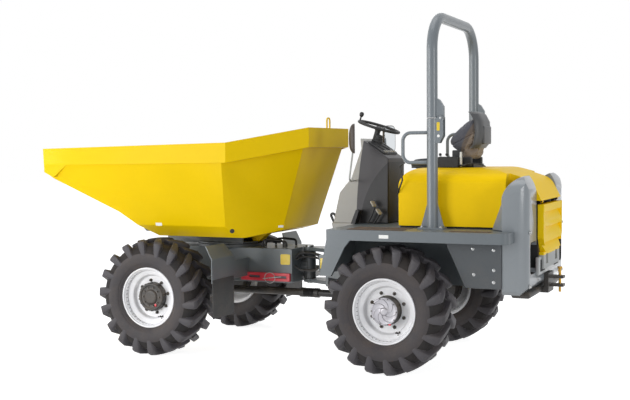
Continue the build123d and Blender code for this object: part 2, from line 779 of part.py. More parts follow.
# ---------------------------------------------------------------- rear chassis
with BuildPart() as rear_frame:
    for side in (-1, 1):
        inner, outer = sorted((side * (RAIL_HALF - RAIL_T), side * RAIL_HALF))
        prism(
            (
                (REAR_X[0], REAR_Z[0]),
                (REAR_X[1] - 180, REAR_Z[0]),
                (REAR_X[1], REAR_Z[0] + 20),
                (REAR_X[1], 960),
                (DECK_X[1], REAR_Z[1]),
                (REAR_X[0], REAR_Z[1]),
            ),
            (inner, outer),
        )
    # front wall with the fork of the articulation joint
    block((REAR_X[1] - 24, REAR_X[1]), (-RAIL_HALF, RAIL_HALF), (OSC_Z - LUG_MID - LUG_T / 2, 960))
    for z_mid in (OSC_Z - LUG_MID, OSC_Z + LUG_MID):
        z_lug = (z_mid - LUG_T / 2, z_mid + LUG_T / 2)
        slab(
            (
                (REAR_X[1] - 10, -200),
                (REAR_X[1] - 10, 200),
                (-KNUCKLE_R * 0.3, KNUCKLE_R * 0.95),
                (-KNUCKLE_R * 0.3, -KNUCKLE_R * 0.95),
            ),
            z_lug,
        )
        rod_z(0, 0, z_lug, KNUCKLE_R)
        rod_z(0, 0, (z_lug[0] - 1, z_lug[1] + 1), PIN_R, mode=Mode.SUBTRACT)
    block((BALLAST_X[1], REAR_X[0] + 20), (-RAIL_HALF, RAIL_HALF), REAR_Z)
    # anchor of the steering ram
    block(
        (STEER_ANCHOR[0] - 40, STEER_ANCHOR[0] + 40),
        (-RAIL_HALF - 8, -RAIL_HALF + RAIL_T),
        (STEER_Z - 42, STEER_Z + 60),
    )
    for z_cheek in ((STEER_Z - 42, STEER_Z - 28), (STEER_Z + 28, STEER_Z + 42)):
        block(
            (STEER_ANCHOR[0] - 40, STEER_ANCHOR[0] + 40),
            (STEER_ANCHOR[1] - 30, -RAIL_HALF + RAIL_T),
            z_cheek,
        )
        rod_z(*STEER_ANCHOR, (z_cheek[0] - 1, z_cheek[1] + 1), STEER_PIN_R, mode=Mode.SUBTRACT)
save(rear_frame.part, "rear_frame")

arm_reach = math.sqrt((TYRE_R + ARM_ROOM) ** 2 - (ARM_FOOT_Z - AXLE_Z) ** 2)
ARM_FOOT = (
    # x                              z of the arm's foot, rear and front corner
    (REAR_AXLE_X + arm_reach, ARM_FOOT_Z),
    (REAR_AXLE_X + arm_reach + 105, ARM_FOOT_Z),
)
TONGUE_Y = BALLAST_HALF + 15.0

with BuildPart() as deck:
    block(DECK_X, (-DECK_HALF, DECK_HALF), (DECK_Z[1] - DECK_PLATE, DECK_Z[1]))
    # edge rim, carried on round the corners of the two tongues
    with BuildSketch(Plane.XY.offset(DECK_Z[0])) as edge_rim:
        for side in (-1, 1):
            with Locations(((DECK_TAIL_X + DECK_X[1]) / 2, side * (TONGUE_Y + DECK_HALF) / 2)):
                Rectangle(DECK_X[1] - DECK_TAIL_X, DECK_HALF - TONGUE_Y)
        fillet(edge_rim.vertices().filter_by(lambda v: v.X < DECK_X[0] and abs(v.Y) > DECK_HALF - 1), 60)
        for side in (-1, 1):
            with Locations(
                ((DECK_TAIL_X + DECK_X[1] + DECK_RIM_T) / 2, side * (TONGUE_Y + DECK_HALF - DECK_RIM_T) / 2)
            ):
                Rectangle(
                    DECK_X[1] - DECK_TAIL_X - DECK_RIM_T + 1,
                    DECK_HALF - TONGUE_Y - DECK_RIM_T + 1,
                    mode=Mode.SUBTRACT,
                )
    extrude(amount=DECK_EDGE)
    with BuildSketch(Plane.XY.offset(DECK_Z[1] - DECK_PLATE)) as tongues:
        for side in (-1, 1):
            with Locations(((DECK_TAIL_X + DECK_X[0] + 1) / 2, side * (TONGUE_Y + DECK_HALF) / 2)):
                Rectangle(DECK_X[0] + 1 - DECK_TAIL_X, DECK_HALF - TONGUE_Y)
        fillet(tongues.vertices().filter_by(lambda v: v.X < DECK_X[0] and abs(v.Y) > DECK_HALF - 1), 60)
    extrude(amount=DECK_PLATE)
    for side in (-1, 1):
        inner, outer = sorted((side * RAIL_HALF, side * (RAIL_HALF - RAIL_T)))
        block(DECK_X, (inner, outer), DECK_Z)
        # slanting front arm and mud plate ahead of the rear wheel
        inner, outer = sorted((side * (DECK_HALF - DECK_RIM_T), side * DECK_HALF))
        prism(
            (
                (DECK_X[1], DECK_Z[1]),
                (DECK_X[1], DECK_Z[0]),
                ARM_FOOT[1],
                ARM_FOOT[0],
                (ARM_FOOT[0][0] - 125, DECK_Z[0] - 60),
                (ARM_FOOT[0][0] - 175, DECK_Z[0] + 1),
                (ARM_FOOT[0][0] - 175, DECK_Z[1]),
            ),
            (inner, outer),
        )
        inner, outer = sorted((side * (RAIL_HALF + 1), side * (DECK_HALF - DECK_RIM_T)))
        prism(
            (
                (DECK_X[1], DECK_Z[1]),
                (DECK_X[1], DECK_Z[0]),
                ARM_FOOT[1],
                (ARM_FOOT[1][0] - 10, ARM_FOOT_Z),
                (DECK_X[1] - DECK_PLATE, DECK_Z[0]),
                (DECK_X[1] - DECK_PLATE, DECK_Z[1]),
            ),
            (inner, outer),
        )
    # opening under the hood
    block((-1990, -1150), (-500, 500), (DECK_Z[0] - 1, DECK_Z[1] + 1), mode=Mode.SUBTRACT)
save(deck.part, "deck")

with BuildPart() as side_boxes:
    for side in (-1, 1):
        inner, outer = sorted((side * RAIL_HALF, side * BOX_HALF))
        prism(
            (
                (BALLAST_X[1] + 1, BOX_Z[0]),
                (-1750, BOX_Z[0]),
                (-1578, DECK_Z[0] - 0.5),
                (BALLAST_X[1] + 1, DECK_Z[0] - 0.5),
            ),
            (inner, outer),
        )
save(side_boxes.part, "side_boxes")

seam_run = math.hypot(SEAM_FOOT_X - SEAM_TOP[0], SEAM_TOP[1] - HOOD_FLOOR)
seam_back = (
    -SEAM_GAP * (SEAM_TOP[1] - HOOD_FLOOR) / seam_run,
    -SEAM_GAP * (SEAM_FOOT_X - SEAM_TOP[0]) / seam_run,
)
WING_FOOT_X = SEAM_FOOT_X + seam_back[0]
HORN_R = math.hypot(SEAM_TOP[0] - HOOD_HINGE[0], SEAM_TOP[1] - HOOD_HINGE[1]) - 8.0
horn_turn = math.asin((BALLAST_Z[1] - HOOD_HINGE[1]) / HORN_R)


def horn_point(turn):
    """Point of the horns' front edge, an arc round the hood hinge that the opening hood clears."""
    return (HOOD_HINGE[0] + HORN_R * math.cos(turn), HOOD_HINGE[1] + HORN_R * math.sin(turn))


CORNER_X = BALLAST_X[0] + 90.0

with BuildPart() as counterweight:
    with BuildSketch(Plane.XY.offset(BALLAST_Z[0])):
        with BuildLine():
            for side in (-1, 1):
                Line((WING_FOOT_X, 0), (WING_FOOT_X, side * (BALLAST_HALF - 115)))
                Line((WING_FOOT_X, side * (BALLAST_HALF - 115)), (BALLAST_X[1], side * BALLAST_HALF))
                Line((BALLAST_X[1], side * BALLAST_HALF), (CORNER_X, side * BALLAST_HALF))
                ThreePointArc(
                    (CORNER_X, side * BALLAST_HALF),
                    (CORNER_X - 66, side * (BALLAST_HALF - 46)),
                    (BALLAST_X[0], side * (BALLAST_HALF - 165)),
                )
                Line((BALLAST_X[0], side * (BALLAST_HALF - 165)), (BALLAST_X[0], 0))
        make_face()
    extrude(amount=BALLAST_Z[1] - BALLAST_Z[0])
    # side view: upright front, wings leaning forward over the deck, domed top
    with BuildSketch(Plane.XZ):
        with BuildLine():
            Polyline(
                (BALLAST_X[0] + 70, BALLAST_Z[0]),
                (BALLAST_X[1], BALLAST_Z[0]),
                (BALLAST_X[1], DECK_Z[1] + 6),
                (WING_FOOT_X, DECK_Z[1] + 6),
                (WING_FOOT_X, HOOD_FLOOR + seam_back[1]),
                (SEAM_TOP[0] + seam_back[0], SEAM_TOP[1] + seam_back[1]),
                horn_point(0),
            )
            ThreePointArc(horn_point(0), horn_point(horn_turn / 2), horn_point(horn_turn))
            ThreePointArc(
                horn_point(horn_turn),
                (BALLAST_X[0] + 12, BALLAST_Z[1] - 84),
                (BALLAST_X[0], BALLAST_Z[1] - 190),
            )
            Line((BALLAST_X[0], BALLAST_Z[1] - 190), (BALLAST_X[0], BALLAST_Z[0] + 70))
            Line((BALLAST_X[0], BALLAST_Z[0] + 70), (BALLAST_X[0] + 70, BALLAST_Z[0]))
        make_face()
    extrude(amount=BALLAST_HALF + 10, both=True, mode=Mode.INTERSECT)
    # rear view: outer shoulders rounded off
    with BuildSketch(Plane.YZ):
        with BuildLine():
            for side in (-1, 1):
                Line((0, BALLAST_Z[0]), (side * (BALLAST_HALF - 30), BALLAST_Z[0]))
                Line((side * (BALLAST_HALF - 30), BALLAST_Z[0]), (side * BALLAST_HALF, BALLAST_Z[0] + 30))
                Line((side * BALLAST_HALF, BALLAST_Z[0] + 30), (side * BALLAST_HALF, BALLAST_Z[1] - 170))
                ThreePointArc(
                    (side * BALLAST_HALF, BALLAST_Z[1] - 170),
                    (side * (BALLAST_HALF - 52), BALLAST_Z[1] - 50),
                    (side * (BALLAST_HALF - 175), BALLAST_Z[1]),
                )
                Line((side * (BALLAST_HALF - 175), BALLAST_Z[1]), (0, BALLAST_Z[1]))
        make_face()
    extrude(amount=2600, both=True, mode=Mode.INTERSECT)
    block(
        (BALLAST_X[0] - 1, WING_FOOT_X + 1),
        (-WINDOW_HALF, WINDOW_HALF),
        (GRILLE_Z[0] - 8, BALLAST_Z[1] + 1),
        Mode.SUBTRACT,
    )
    # lamp recesses, open towards the grille
    for side in (-1, 1):
        inner, outer = sorted((side * (WINDOW_HALF - 1), side * LAMP_Y[1]))
        with BuildSketch(Plane.YZ.offset(BALLAST_X[0] - 1)) as recess:
            with Locations(((inner + outer) / 2, sum(LAMP_Z) / 2)):
                RectangleRounded(outer - inner, LAMP_Z[1] - LAMP_Z[0], 46)
        extrude(recess.sketch, amount=LAMP_DEPTH, mode=Mode.SUBTRACT)
save(counterweight.part, "counterweight")

lamp_back = BALLAST_X[0] - 1 + LAMP_DEPTH
LENSES = 3
lens_pitch = (LAMP_Z[1] - LAMP_Z[0] - 30) / LENSES
with BuildPart() as tail_lamps:
    for side in (-1, 1):
        inner, outer = sorted((side * LAMP_Y[0], side * (LAMP_Y[1] - 22)))
        for row in range(LENSES):
            z_low = LAMP_Z[0] + 18 + row * lens_pitch
            block((lamp_back - 30, lamp_back), (inner, outer), (z_low, z_low + lens_pitch - 8))
save(tail_lamps.part, "tail_lamps")

LOUVRES = 3
louvre_pitch = (GRILLE_Z[1] - 1030) / LOUVRES
with BuildPart() as grille:
    with BuildSketch(Plane.YZ.offset(GRILLE_X[0])):
        with BuildLine():
            Polyline(
                (GRILLE_HALF, GRILLE_Z[1]),
                (GRILLE_HALF, 1130),
                (GRILLE_HALF - 85, 1010),
                (-GRILLE_HALF + 85, 1010),
                (-GRILLE_HALF, 1130),
                (-GRILLE_HALF, GRILLE_Z[1]),
                close=True,
            )
        make_face()
    extrude(amount=GRILLE_X[1] - GRILLE_X[0])
    # scooped louvres: each slot is deepest at its top edge
    for row in range(LOUVRES):
        z_top = GRILLE_Z[1] - 62 - row * louvre_pitch
        prism(
            (
                (GRILLE_X[0] - 1, z_top),
                (GRILLE_X[0] + 38, z_top),
                (GRILLE_X[0] - 1, z_top - 78),
            ),
            (-GRILLE_HALF + 45, GRILLE_HALF - 45),
            Mode.SUBTRACT,
        )
    # plate under the louvres
    block((GRILLE_X[0] + 12, GRILLE_X[1]), (-GRILLE_HALF + 60, GRILLE_HALF - 60), (GRILLE_Z[0], 1011))
    for side in (-1, 1):
        inner, outer = sorted((side * 150, side * 235))
        block((GRILLE_X[0] + 11, GRILLE_X[0] + 30), (inner, outer), (905, 990), Mode.SUBTRACT)
save(grille.part, "grille")

with BuildPart() as radiator:
    block((GRILLE_X[1], -2060), (-380, 380), (GRILLE_Z[0] + 5, 1400))
    block((-2200, -2120), (-WINDOW_HALF, WINDOW_HALF), (900, 1350))
    for side in (-1, 1):
        inner, outer = sorted((side * 286, side * 306))
        block((GRILLE_X[1] + 1, GRILLE_X[1] + 28), (inner, outer), (1390, HOOD_HINGE[1]))
        block((HOOD_HINGE[0], GRILLE_X[1] + 28), (inner, outer), (GRILLE_Z[1] + 11, HOOD_HINGE[1]))
        rod_y(*HOOD_HINGE, (inner, outer), 11)
        inner, outer = sorted((side * 286, side * 332))
        rod_y(*HOOD_HINGE, (inner, outer), 6)
save(radiator.part, "radiator")

with BuildPart() as tow_hitch:
    block((-2300, BALLAST_X[0]), (-110, 110), (640, 810))
    block((-2270, -2200), (-110, 110), (640, BALLAST_Z[0]))
    for z_low in (HITCH_PIN[1] - HITCH_GAP / 2 - HITCH_PLATE, HITCH_PIN[1] + HITCH_GAP / 2):
        block((HITCH_PIN[0] - 38, -2299), (-48, 48), (z_low, z_low + HITCH_PLATE))
        hole = (z_low - 1, z_low + HITCH_PLATE + 1)
        rod_z(HITCH_PIN[0], 0, hole, HITCH_PIN_R, mode=Mode.SUBTRACT)
save(tow_hitch.part, "tow_hitch")

pin_shoulder = HITCH_PIN[1] - HITCH_GAP / 2 - HITCH_PLATE - 4
with BuildPart() as hitch_pin:
    rod_z(HITCH_PIN[0], 0, (pin_shoulder - HITCH_TIP, pin_shoulder), HITCH_TIP_R)
    rod_z(HITCH_PIN[0], 0, (pin_shoulder, HITCH_PIN[1] + HITCH_PIN_TOP), HITCH_PIN_R)
    rod_z(HITCH_PIN[0], 0, (HITCH_PIN[1] + HITCH_PIN_TOP - 16, HITCH_PIN[1] + HITCH_PIN_TOP), HITCH_PIN_R + 9)
save(hitch_pin.part, "hitch_pin")

with BuildPart() as engine:
    block((-1850, -1200), (-240, 240), (760, 1500))
    for x_foot in ((-1780, -1700), (-1350, -1270)):
        block(x_foot, (-RAIL_HALF + RAIL_T, RAIL_HALF - RAIL_T), (820, 870))
save(engine.part, "engine")

# --------------------------------------------------------------- hood and seat
HOOD_SIDE = (
    # x     z            rounding of that corner
    (-1108, HOOD_FLOOR, 0),
    (-1104, HOOD_TOP, 160),
    (-1900, HOOD_TOP - 2, 300),
    (-2216, 1616, 150),
    (-2303, SEAM_TOP[1], 0),
    (SEAM_TOP[0] - 9, SEAM_TOP[1], 0),
    (SEAM_FOOT_X - 5, HOOD_FLOOR, 0),
)
HOOD_SECTION = (
    # half width        z               rounding of that corner
    (HOOD_HALF, HOOD_FLOOR - 20, 0),
    (HOOD_HALF - 6, HOOD_TOP - 108, 90),
    (HOOD_HALF - 40, HOOD_TOP - 52, 90),
    (HOOD_HALF - 130, HOOD_TOP - 8, 300),
    (HOOD_HALF - 220, HOOD_TOP + 4, 500),
)


def hood_body(inset):
    """Closed body of the hood, its skin moved inwards by inset."""
    section = [*HOOD_SECTION, *[(-w, z, r) for w, z, r in reversed(HOOD_SECTION)]]
    with BuildPart() as body:
        with BuildSketch(Plane.XZ) as side_view:
            with BuildLine():
                Polyline(*[(x, z) for x, z, _ in HOOD_SIDE], close=True)
            make_face()
            for x, z, radius in HOOD_SIDE:
                if radius:
                    fillet(side_view.vertices().sort_by_distance((x, z, 0))[0], radius)
            if inset:
                offset(amount=-inset, kind=Kind.INTERSECTION)
        extrude(amount=HOOD_HALF + 10, both=True)
        with BuildSketch(Plane.YZ) as rear_view:
            with BuildLine():
                Polyline(*[(w, z) for w, z, _ in section], close=True)
            make_face()
            for w, z, radius in section:
                if radius:
                    fillet(rear_view.vertices().sort_by_distance((w, z, 0))[0], radius)
            if inset:
                offset(amount=-inset, kind=Kind.INTERSECTION)
        extrude(amount=2600, both=True, mode=Mode.INTERSECT)
        # the tail narrows between the horns of the counterweight
        for side in (-1, 1):
            inner, outer = sorted((side * (HOOD_TAIL_HALF - inset), side * (HOOD_HALF + 20)))
            prism(
                (
                    (SEAM_TOP[0] + inset, HOOD_TOP + 20),
                    (SEAM_TOP[0] + inset, SEAM_TOP[1]),
                    (SEAM_FOOT_X + inset, HOOD_FLOOR),
                    (SEAM_FOOT_X + inset, HOOD_FLOOR - 50),
                    (-2400, HOOD_FLOOR - 50),
                    (-2400, HOOD_TOP + 20),
                ),
                (inner, outer),
                mode=Mode.SUBTRACT,
            )
    return body.part


hood_outer = hood_body(0)
hood_inner = hood_body(HOOD_SKIN)
with BuildPart() as hood:
    add(hood_outer)
    add(hood_inner, mode=Mode.SUBTRACT)
    block(
        (SEAM_FOOT_X + HOOD_SKIN, -1125),
        (-HOOD_HALF + HOOD_SKIN, HOOD_HALF - HOOD_SKIN),
        (HOOD_FLOOR - 30, HOOD_FLOOR + 40),
        mode=Mode.SUBTRACT,
    )
    # hinge ears under the tail
    for side in (-1, 1):
        inner, outer = sorted((side * 308, side * 328))
        block((HOOD_HINGE[0] - 11, HOOD_HINGE[0] + 11), (inner, outer), (HOOD_HINGE[1], 1450))
        rod_y(*HOOD_HINGE, (inner, outer), 11)
        rod_y(*HOOD_HINGE, (inner - 1, outer + 1), 6 + FIT, mode=Mode.SUBTRACT)
save(hood.part, "hood")

with BuildPart() as seat_base:
    block((-1660, -1340), (-170, 170), (SEAT_Z - 6, SEAT_Z + 28))
    # control box on the left of the seat, and the rail that carries it
    block((-1540, -1400), (165, 250), (SEAT_Z + 4, SEAT_Z + 22))
    block((-1560, -1370), (SEAT_W / 2 + 6, SEAT_W / 2 + 96), (SEAT_Z + 4, SEAT_Z + 92))
    add(hood.part, mode=Mode.SUBTRACT)
save(seat_base.part, "seat_base")

with BuildPart() as seat_cushion:
    prism(
        (
            (-1265, SEAT_Z + 28.5),
            (-1262, SEAT_Z + 72),
            (-1285, SEAT_Z + 88),
            (-1499, SEAT_Z + 83),
            (-1560, SEAT_Z + 28.5),
        ),
        (-SEAT_W / 2, SEAT_W / 2),
    )
save(seat_cushion.part, "seat_cushion")

with BuildPart() as seat_back:
    prism(
        (
            (-1562, SEAT_Z + 28.5),
            (-1504, SEAT_Z + 82),
            (-1450, SEAT_Z + 152),
            (-1440, SEAT_Z + 212),
            (-1500, SEAT_Z + 322),
            (-1575, SEAT_Z + 392),
            (-1650, SEAT_Z + 437),
            (-1705, SEAT_Z + 487),
            (-1738, SEAT_Z + 497),
            (-1785, SEAT_Z + 432),
            (-1800, SEAT_Z + 302),
            (-1775, SEAT_Z + 172),
            (-1715, SEAT_Z + 147),
            (-1680, SEAT_Z + 28.5),
        ),
        (-SEAT_W / 2 + 12, SEAT_W / 2 - 12),
    )
    # hollow between the side bolsters
    prism(
        (
            (-1400, SEAT_Z + 110),
            (-1400, SEAT_Z + 500),
            (-1680, SEAT_Z + 500),
            (-1610, SEAT_Z + 300),
            (-1560, SEAT_Z + 150),
        ),
        (-SEAT_W / 2 + 90, SEAT_W / 2 - 90),
        Mode.SUBTRACT,
    )
save(seat_back.part, "seat_back")

# -------------------------------------------------------------------- cab area
with BuildPart() as console:
    prism(
        (
            (-340, DECK_Z[1]),
            (-405, 1490),
            (-520, 1618),
            (-622, 1890),
            (-612, 1985),
            (-885, 1800),
            (-882, DECK_Z[1]),
        ),
        (-CONSOLE_HALF, CONSOLE_HALF),
    )
    # foot over the front edge of the deck
    prism(
        (
            (-599.5, DECK_Z[1]),
            (-599.5, DECK_Z[1] - 60),
            (-345, 1130),
            (-330, DECK_Z[1]),
        ),
        (-CONSOLE_HALF - 20, CONSOLE_HALF + 20),
    )
save(console.part, "console")

tilt = math.radians(WHEEL_TILT)
wheel_axis = Vector(-math.sin(tilt), 0, math.cos(tilt))
wheel_centre = Vector(WHEEL_CENTRE[0], 0, WHEEL_CENTRE[1])

with BuildPart() as steering_column:
    bar(along(wheel_centre, wheel_axis, -230), along(wheel_centre, wheel_axis, -42), 26)
    add(console.part, mode=Mode.SUBTRACT)
save(steering_column.part, "steering_column")

wheel_plane = Plane(origin=wheel_centre, x_dir=(math.cos(tilt), 0, math.sin(tilt)), z_dir=wheel_axis)
with BuildPart() as steering_wheel:
    with BuildSketch(Plane(origin=wheel_centre, x_dir=wheel_plane.x_dir, z_dir=(0, -1, 0))) as grip:
        with Locations((WHEEL_R, 0)):
            Circle(14)
    revolve(grip.sketch, axis=Axis(wheel_centre, wheel_axis))
    bar(along(wheel_centre, wheel_axis, -42), along(wheel_centre, wheel_axis, -4), 34)
    for turn in (30, 150, 270):
        spoke = Vector(math.cos(math.radians(turn)), math.sin(math.radians(turn)), 0)
        bar(
            along(wheel_centre, wheel_axis, -14),
            wheel_plane.from_local_coords(spoke * WHEEL_R),
            9,
        )
save(steering_wheel.part, "steering_wheel")

with BuildPart() as pedals:
    for side in (-1, 1):
        inner, outer = sorted((side * 240, side * 330))
        prism(
            ((-640, 1330), (-612, 1338), (-560, DECK_Z[1] + 0.3), (-600, DECK_Z[1] + 0.3)),
            (inner, outer),
        )
save(pedals.part, "pedals")

with BuildPart() as mirrors:
    for side in (-1, 1):
        pipe(
            (
                (-560, side * (CONSOLE_HALF - 20), 1600),
                (-600, side * MIRROR_Y, 1600),
                (-640, side * MIRROR_Y, 1860),
            ),
            9,
            60,
        )
        with BuildSketch(Plane.YZ.offset(-665)) as shell:
            with Locations((side * MIRROR_Y, 1980)):
                RectangleRounded(165, 265, 45)
        extrude(shell.sketch, amount=45)
    add(console.part, mode=Mode.SUBTRACT)
save(mirrors.part, "mirrors")

with BuildPart() as grab_rails:
    for side in (-1, 1):
        pipe(
            (
                (POST_X + POST_R + 0.3, side * POST_Y, 2020),
                (-1175, side * POST_Y, 2020),
                (-1175, side * POST_Y, 1768),
                (POST_X + POST_R + 0.3, side * POST_Y, 1768),
            ),
            15,
            70,
        )
save(grab_rails.part, "grab_rails")

# ------------------------------------------------------------------- roll hoop
CHEEKS = (
    # middle, from the middle of a post   thickness
    (-26, 8),
    (26, 8),
)
with BuildPart() as roll_posts:
    for side in (-1, 1):
        rod_z(POST_X, side * POST_Y, (DECK_Z[1], POST_SEAM_Z - 4), POST_R)
        prism(
            (
                (POST_X - 105, DECK_Z[1]),
                (POST_X + 105, DECK_Z[1]),
                (POST_X + 34, DECK_Z[1] + 250),
                (POST_X - 34, DECK_Z[1] + 250),
            ),
            (side * POST_Y - 7, side * POST_Y + 7),
        )
        block((POST_X - 110, POST_X + 110), (side * POST_Y - 46, side * POST_Y + 60), (DECK_Z[1], DECK_Z[1] + 14))
        for middle, thickness in CHEEKS:
            y_cheek = side * POST_Y + middle
            cheek = (y_cheek - thickness / 2, y_cheek + thickness / 2)
            prism(
                (
                    (POST_X - 28, FOLD_Z - 210),
                    (POST_X - 28, FOLD_Z - 4),
                    (FOLD_X + 10, FOLD_Z + 16),
                    (FOLD_X - 22, FOLD_Z),
                    (FOLD_X - 22, FOLD_Z - 150),
                    (FOLD_X + 12, FOLD_Z - 210),
                ),
                cheek,
            )
            rod_y(FOLD_X, FOLD_Z, cheek, 22)
            rod_y(FOLD_X, FOLD_Z, (cheek[0] - 1, cheek[1] + 1), 10, mode=Mode.SUBTRACT)
save(roll_posts.part, "roll_posts")

with BuildPart() as roll_hoop:
    pipe(
        (
            (POST_X, -POST_Y, POST_SEAM_Z + 4),
            (POST_X, -POST_Y, HOOP_TOP_Z - POST_R),
            (POST_X, POST_Y, HOOP_TOP_Z - POST_R),
            (POST_X, POST_Y, POST_SEAM_Z + 4),
        ),
        POST_R,
        HOOP_BEND_R,
    )
    for side in (-1, 1):
        y_ear = (side * POST_Y - 18, side * POST_Y + 18)
        prism(
            (
                (FOLD_X - 22, FOLD_Z),
                (FOLD_X + 20, FOLD_Z),
                (FOLD_X + 20, FOLD_Z + 10),
                (POST_X - 30, FOLD_Z + 10),
                (POST_X - 30, FOLD_Z + 175),
                (FOLD_X + 12, FOLD_Z + 150),
                (FOLD_X - 22, FOLD_Z + 95),
            ),
            y_ear,
        )
        rod_y(FOLD_X, FOLD_Z, y_ear, 22)
        rod_y(FOLD_X, FOLD_Z, (y_ear[0] - 1, y_ear[1] + 1), 10 + FIT, mode=Mode.SUBTRACT)
save(roll_hoop.part, "roll_hoop")

with BuildPart() as chassis_pins:
    rod_z(0, 0, (OSC_Z - LUG_MID - 30, OSC_Z + LUG_MID + 30), PIN_R)
    rod_z(0, 0, (OSC_Z + LUG_MID + LUG_T / 2 + 0.2, OSC_Z + LUG_MID + 32), PIN_R + 14)
    rod_z(*STEER_ANCHOR, (STEER_Z - 50, STEER_Z + 50), STEER_PIN_R)
    for side in (-1, 1):
        rod_y(FOLD_X, FOLD_Z, (side * POST_Y - 38, side * POST_Y + 38), 10)
save(chassis_pins.part, "chassis_pins")
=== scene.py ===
"""Site dumper: the dressed model, built on its fixed CAD frame.

Every length is in metres, with +X forward, +Y left and +Z up, and the origin on the
ground under the articulation pin. Each sub-assembly is a class that builds its own
pieces and gives its CAD nodes their finishes.
"""

import functools
import json
import logging
import math
from dataclasses import dataclass, replace
from enum import Enum
from typing import ClassVar, Mapping, Optional, Sequence

import bmesh
import bpy
import numpy as np
from mathutils import Matrix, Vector
from mathutils.bvhtree import BVHTree

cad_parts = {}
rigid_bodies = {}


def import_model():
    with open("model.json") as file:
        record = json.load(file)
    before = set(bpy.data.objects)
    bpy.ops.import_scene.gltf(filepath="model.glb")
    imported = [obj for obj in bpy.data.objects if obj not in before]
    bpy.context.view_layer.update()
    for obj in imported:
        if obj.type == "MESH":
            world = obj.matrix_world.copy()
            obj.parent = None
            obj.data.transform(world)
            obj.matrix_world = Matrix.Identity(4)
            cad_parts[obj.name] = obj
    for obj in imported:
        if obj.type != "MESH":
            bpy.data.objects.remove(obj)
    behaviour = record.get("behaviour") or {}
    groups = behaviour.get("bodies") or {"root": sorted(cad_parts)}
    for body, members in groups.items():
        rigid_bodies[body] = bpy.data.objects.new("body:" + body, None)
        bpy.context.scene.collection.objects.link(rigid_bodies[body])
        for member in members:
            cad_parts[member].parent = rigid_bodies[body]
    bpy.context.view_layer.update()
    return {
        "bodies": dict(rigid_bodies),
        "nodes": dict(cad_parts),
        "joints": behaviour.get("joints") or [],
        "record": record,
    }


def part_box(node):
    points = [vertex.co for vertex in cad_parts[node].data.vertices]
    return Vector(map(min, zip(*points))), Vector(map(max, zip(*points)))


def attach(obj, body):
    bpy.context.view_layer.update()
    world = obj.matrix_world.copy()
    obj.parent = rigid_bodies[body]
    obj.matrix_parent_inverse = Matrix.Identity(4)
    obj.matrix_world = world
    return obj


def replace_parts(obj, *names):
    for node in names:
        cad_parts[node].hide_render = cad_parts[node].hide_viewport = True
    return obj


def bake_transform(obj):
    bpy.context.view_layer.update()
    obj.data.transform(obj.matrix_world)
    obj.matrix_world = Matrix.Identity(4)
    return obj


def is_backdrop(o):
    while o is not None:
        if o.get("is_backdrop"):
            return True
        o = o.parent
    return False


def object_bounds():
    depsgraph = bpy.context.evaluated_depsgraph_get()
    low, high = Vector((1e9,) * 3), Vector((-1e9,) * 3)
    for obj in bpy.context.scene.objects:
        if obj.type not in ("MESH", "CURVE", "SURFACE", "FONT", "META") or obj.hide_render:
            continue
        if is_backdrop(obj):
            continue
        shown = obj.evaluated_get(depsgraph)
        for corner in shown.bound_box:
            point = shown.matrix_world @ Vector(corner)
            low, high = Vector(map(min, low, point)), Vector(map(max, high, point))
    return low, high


LOG = logging.getLogger("dumper")
Points = np.ndarray
Sockets = Mapping[str, bpy.types.NodeSocket]
UP = np.array((0.0, 0.0, 1.0))
FRAME: dict = {}


class Body(Enum):
    """Bodies of the frame that pieces ride on."""

    REAR = "rear_chassis"
    HOOD = "hood_assembly"
    STEER = "steering_wheel"
    PIVOT = "pivot_block"
    FRONT = "front_chassis"
    SWIVEL = "swivel_frame"
    SKIP = "skip"
    FRONT_LEFT = "wheel_front_left"
    FRONT_RIGHT = "wheel_front_right"
    REAR_LEFT = "wheel_rear_left"
    REAR_RIGHT = "wheel_rear_right"


# ------------------------------------------------------------------ shader effects
class Effect(Enum):
    """Shared shader effects, each built once as a node group."""

    MOTTLE = "mottle"
    EDGE = "edge_wear"
    DUST = "dust_film"
    GRAIN = "grain"
    PEEL = "orange_peel"
    WEAVE = "weave"


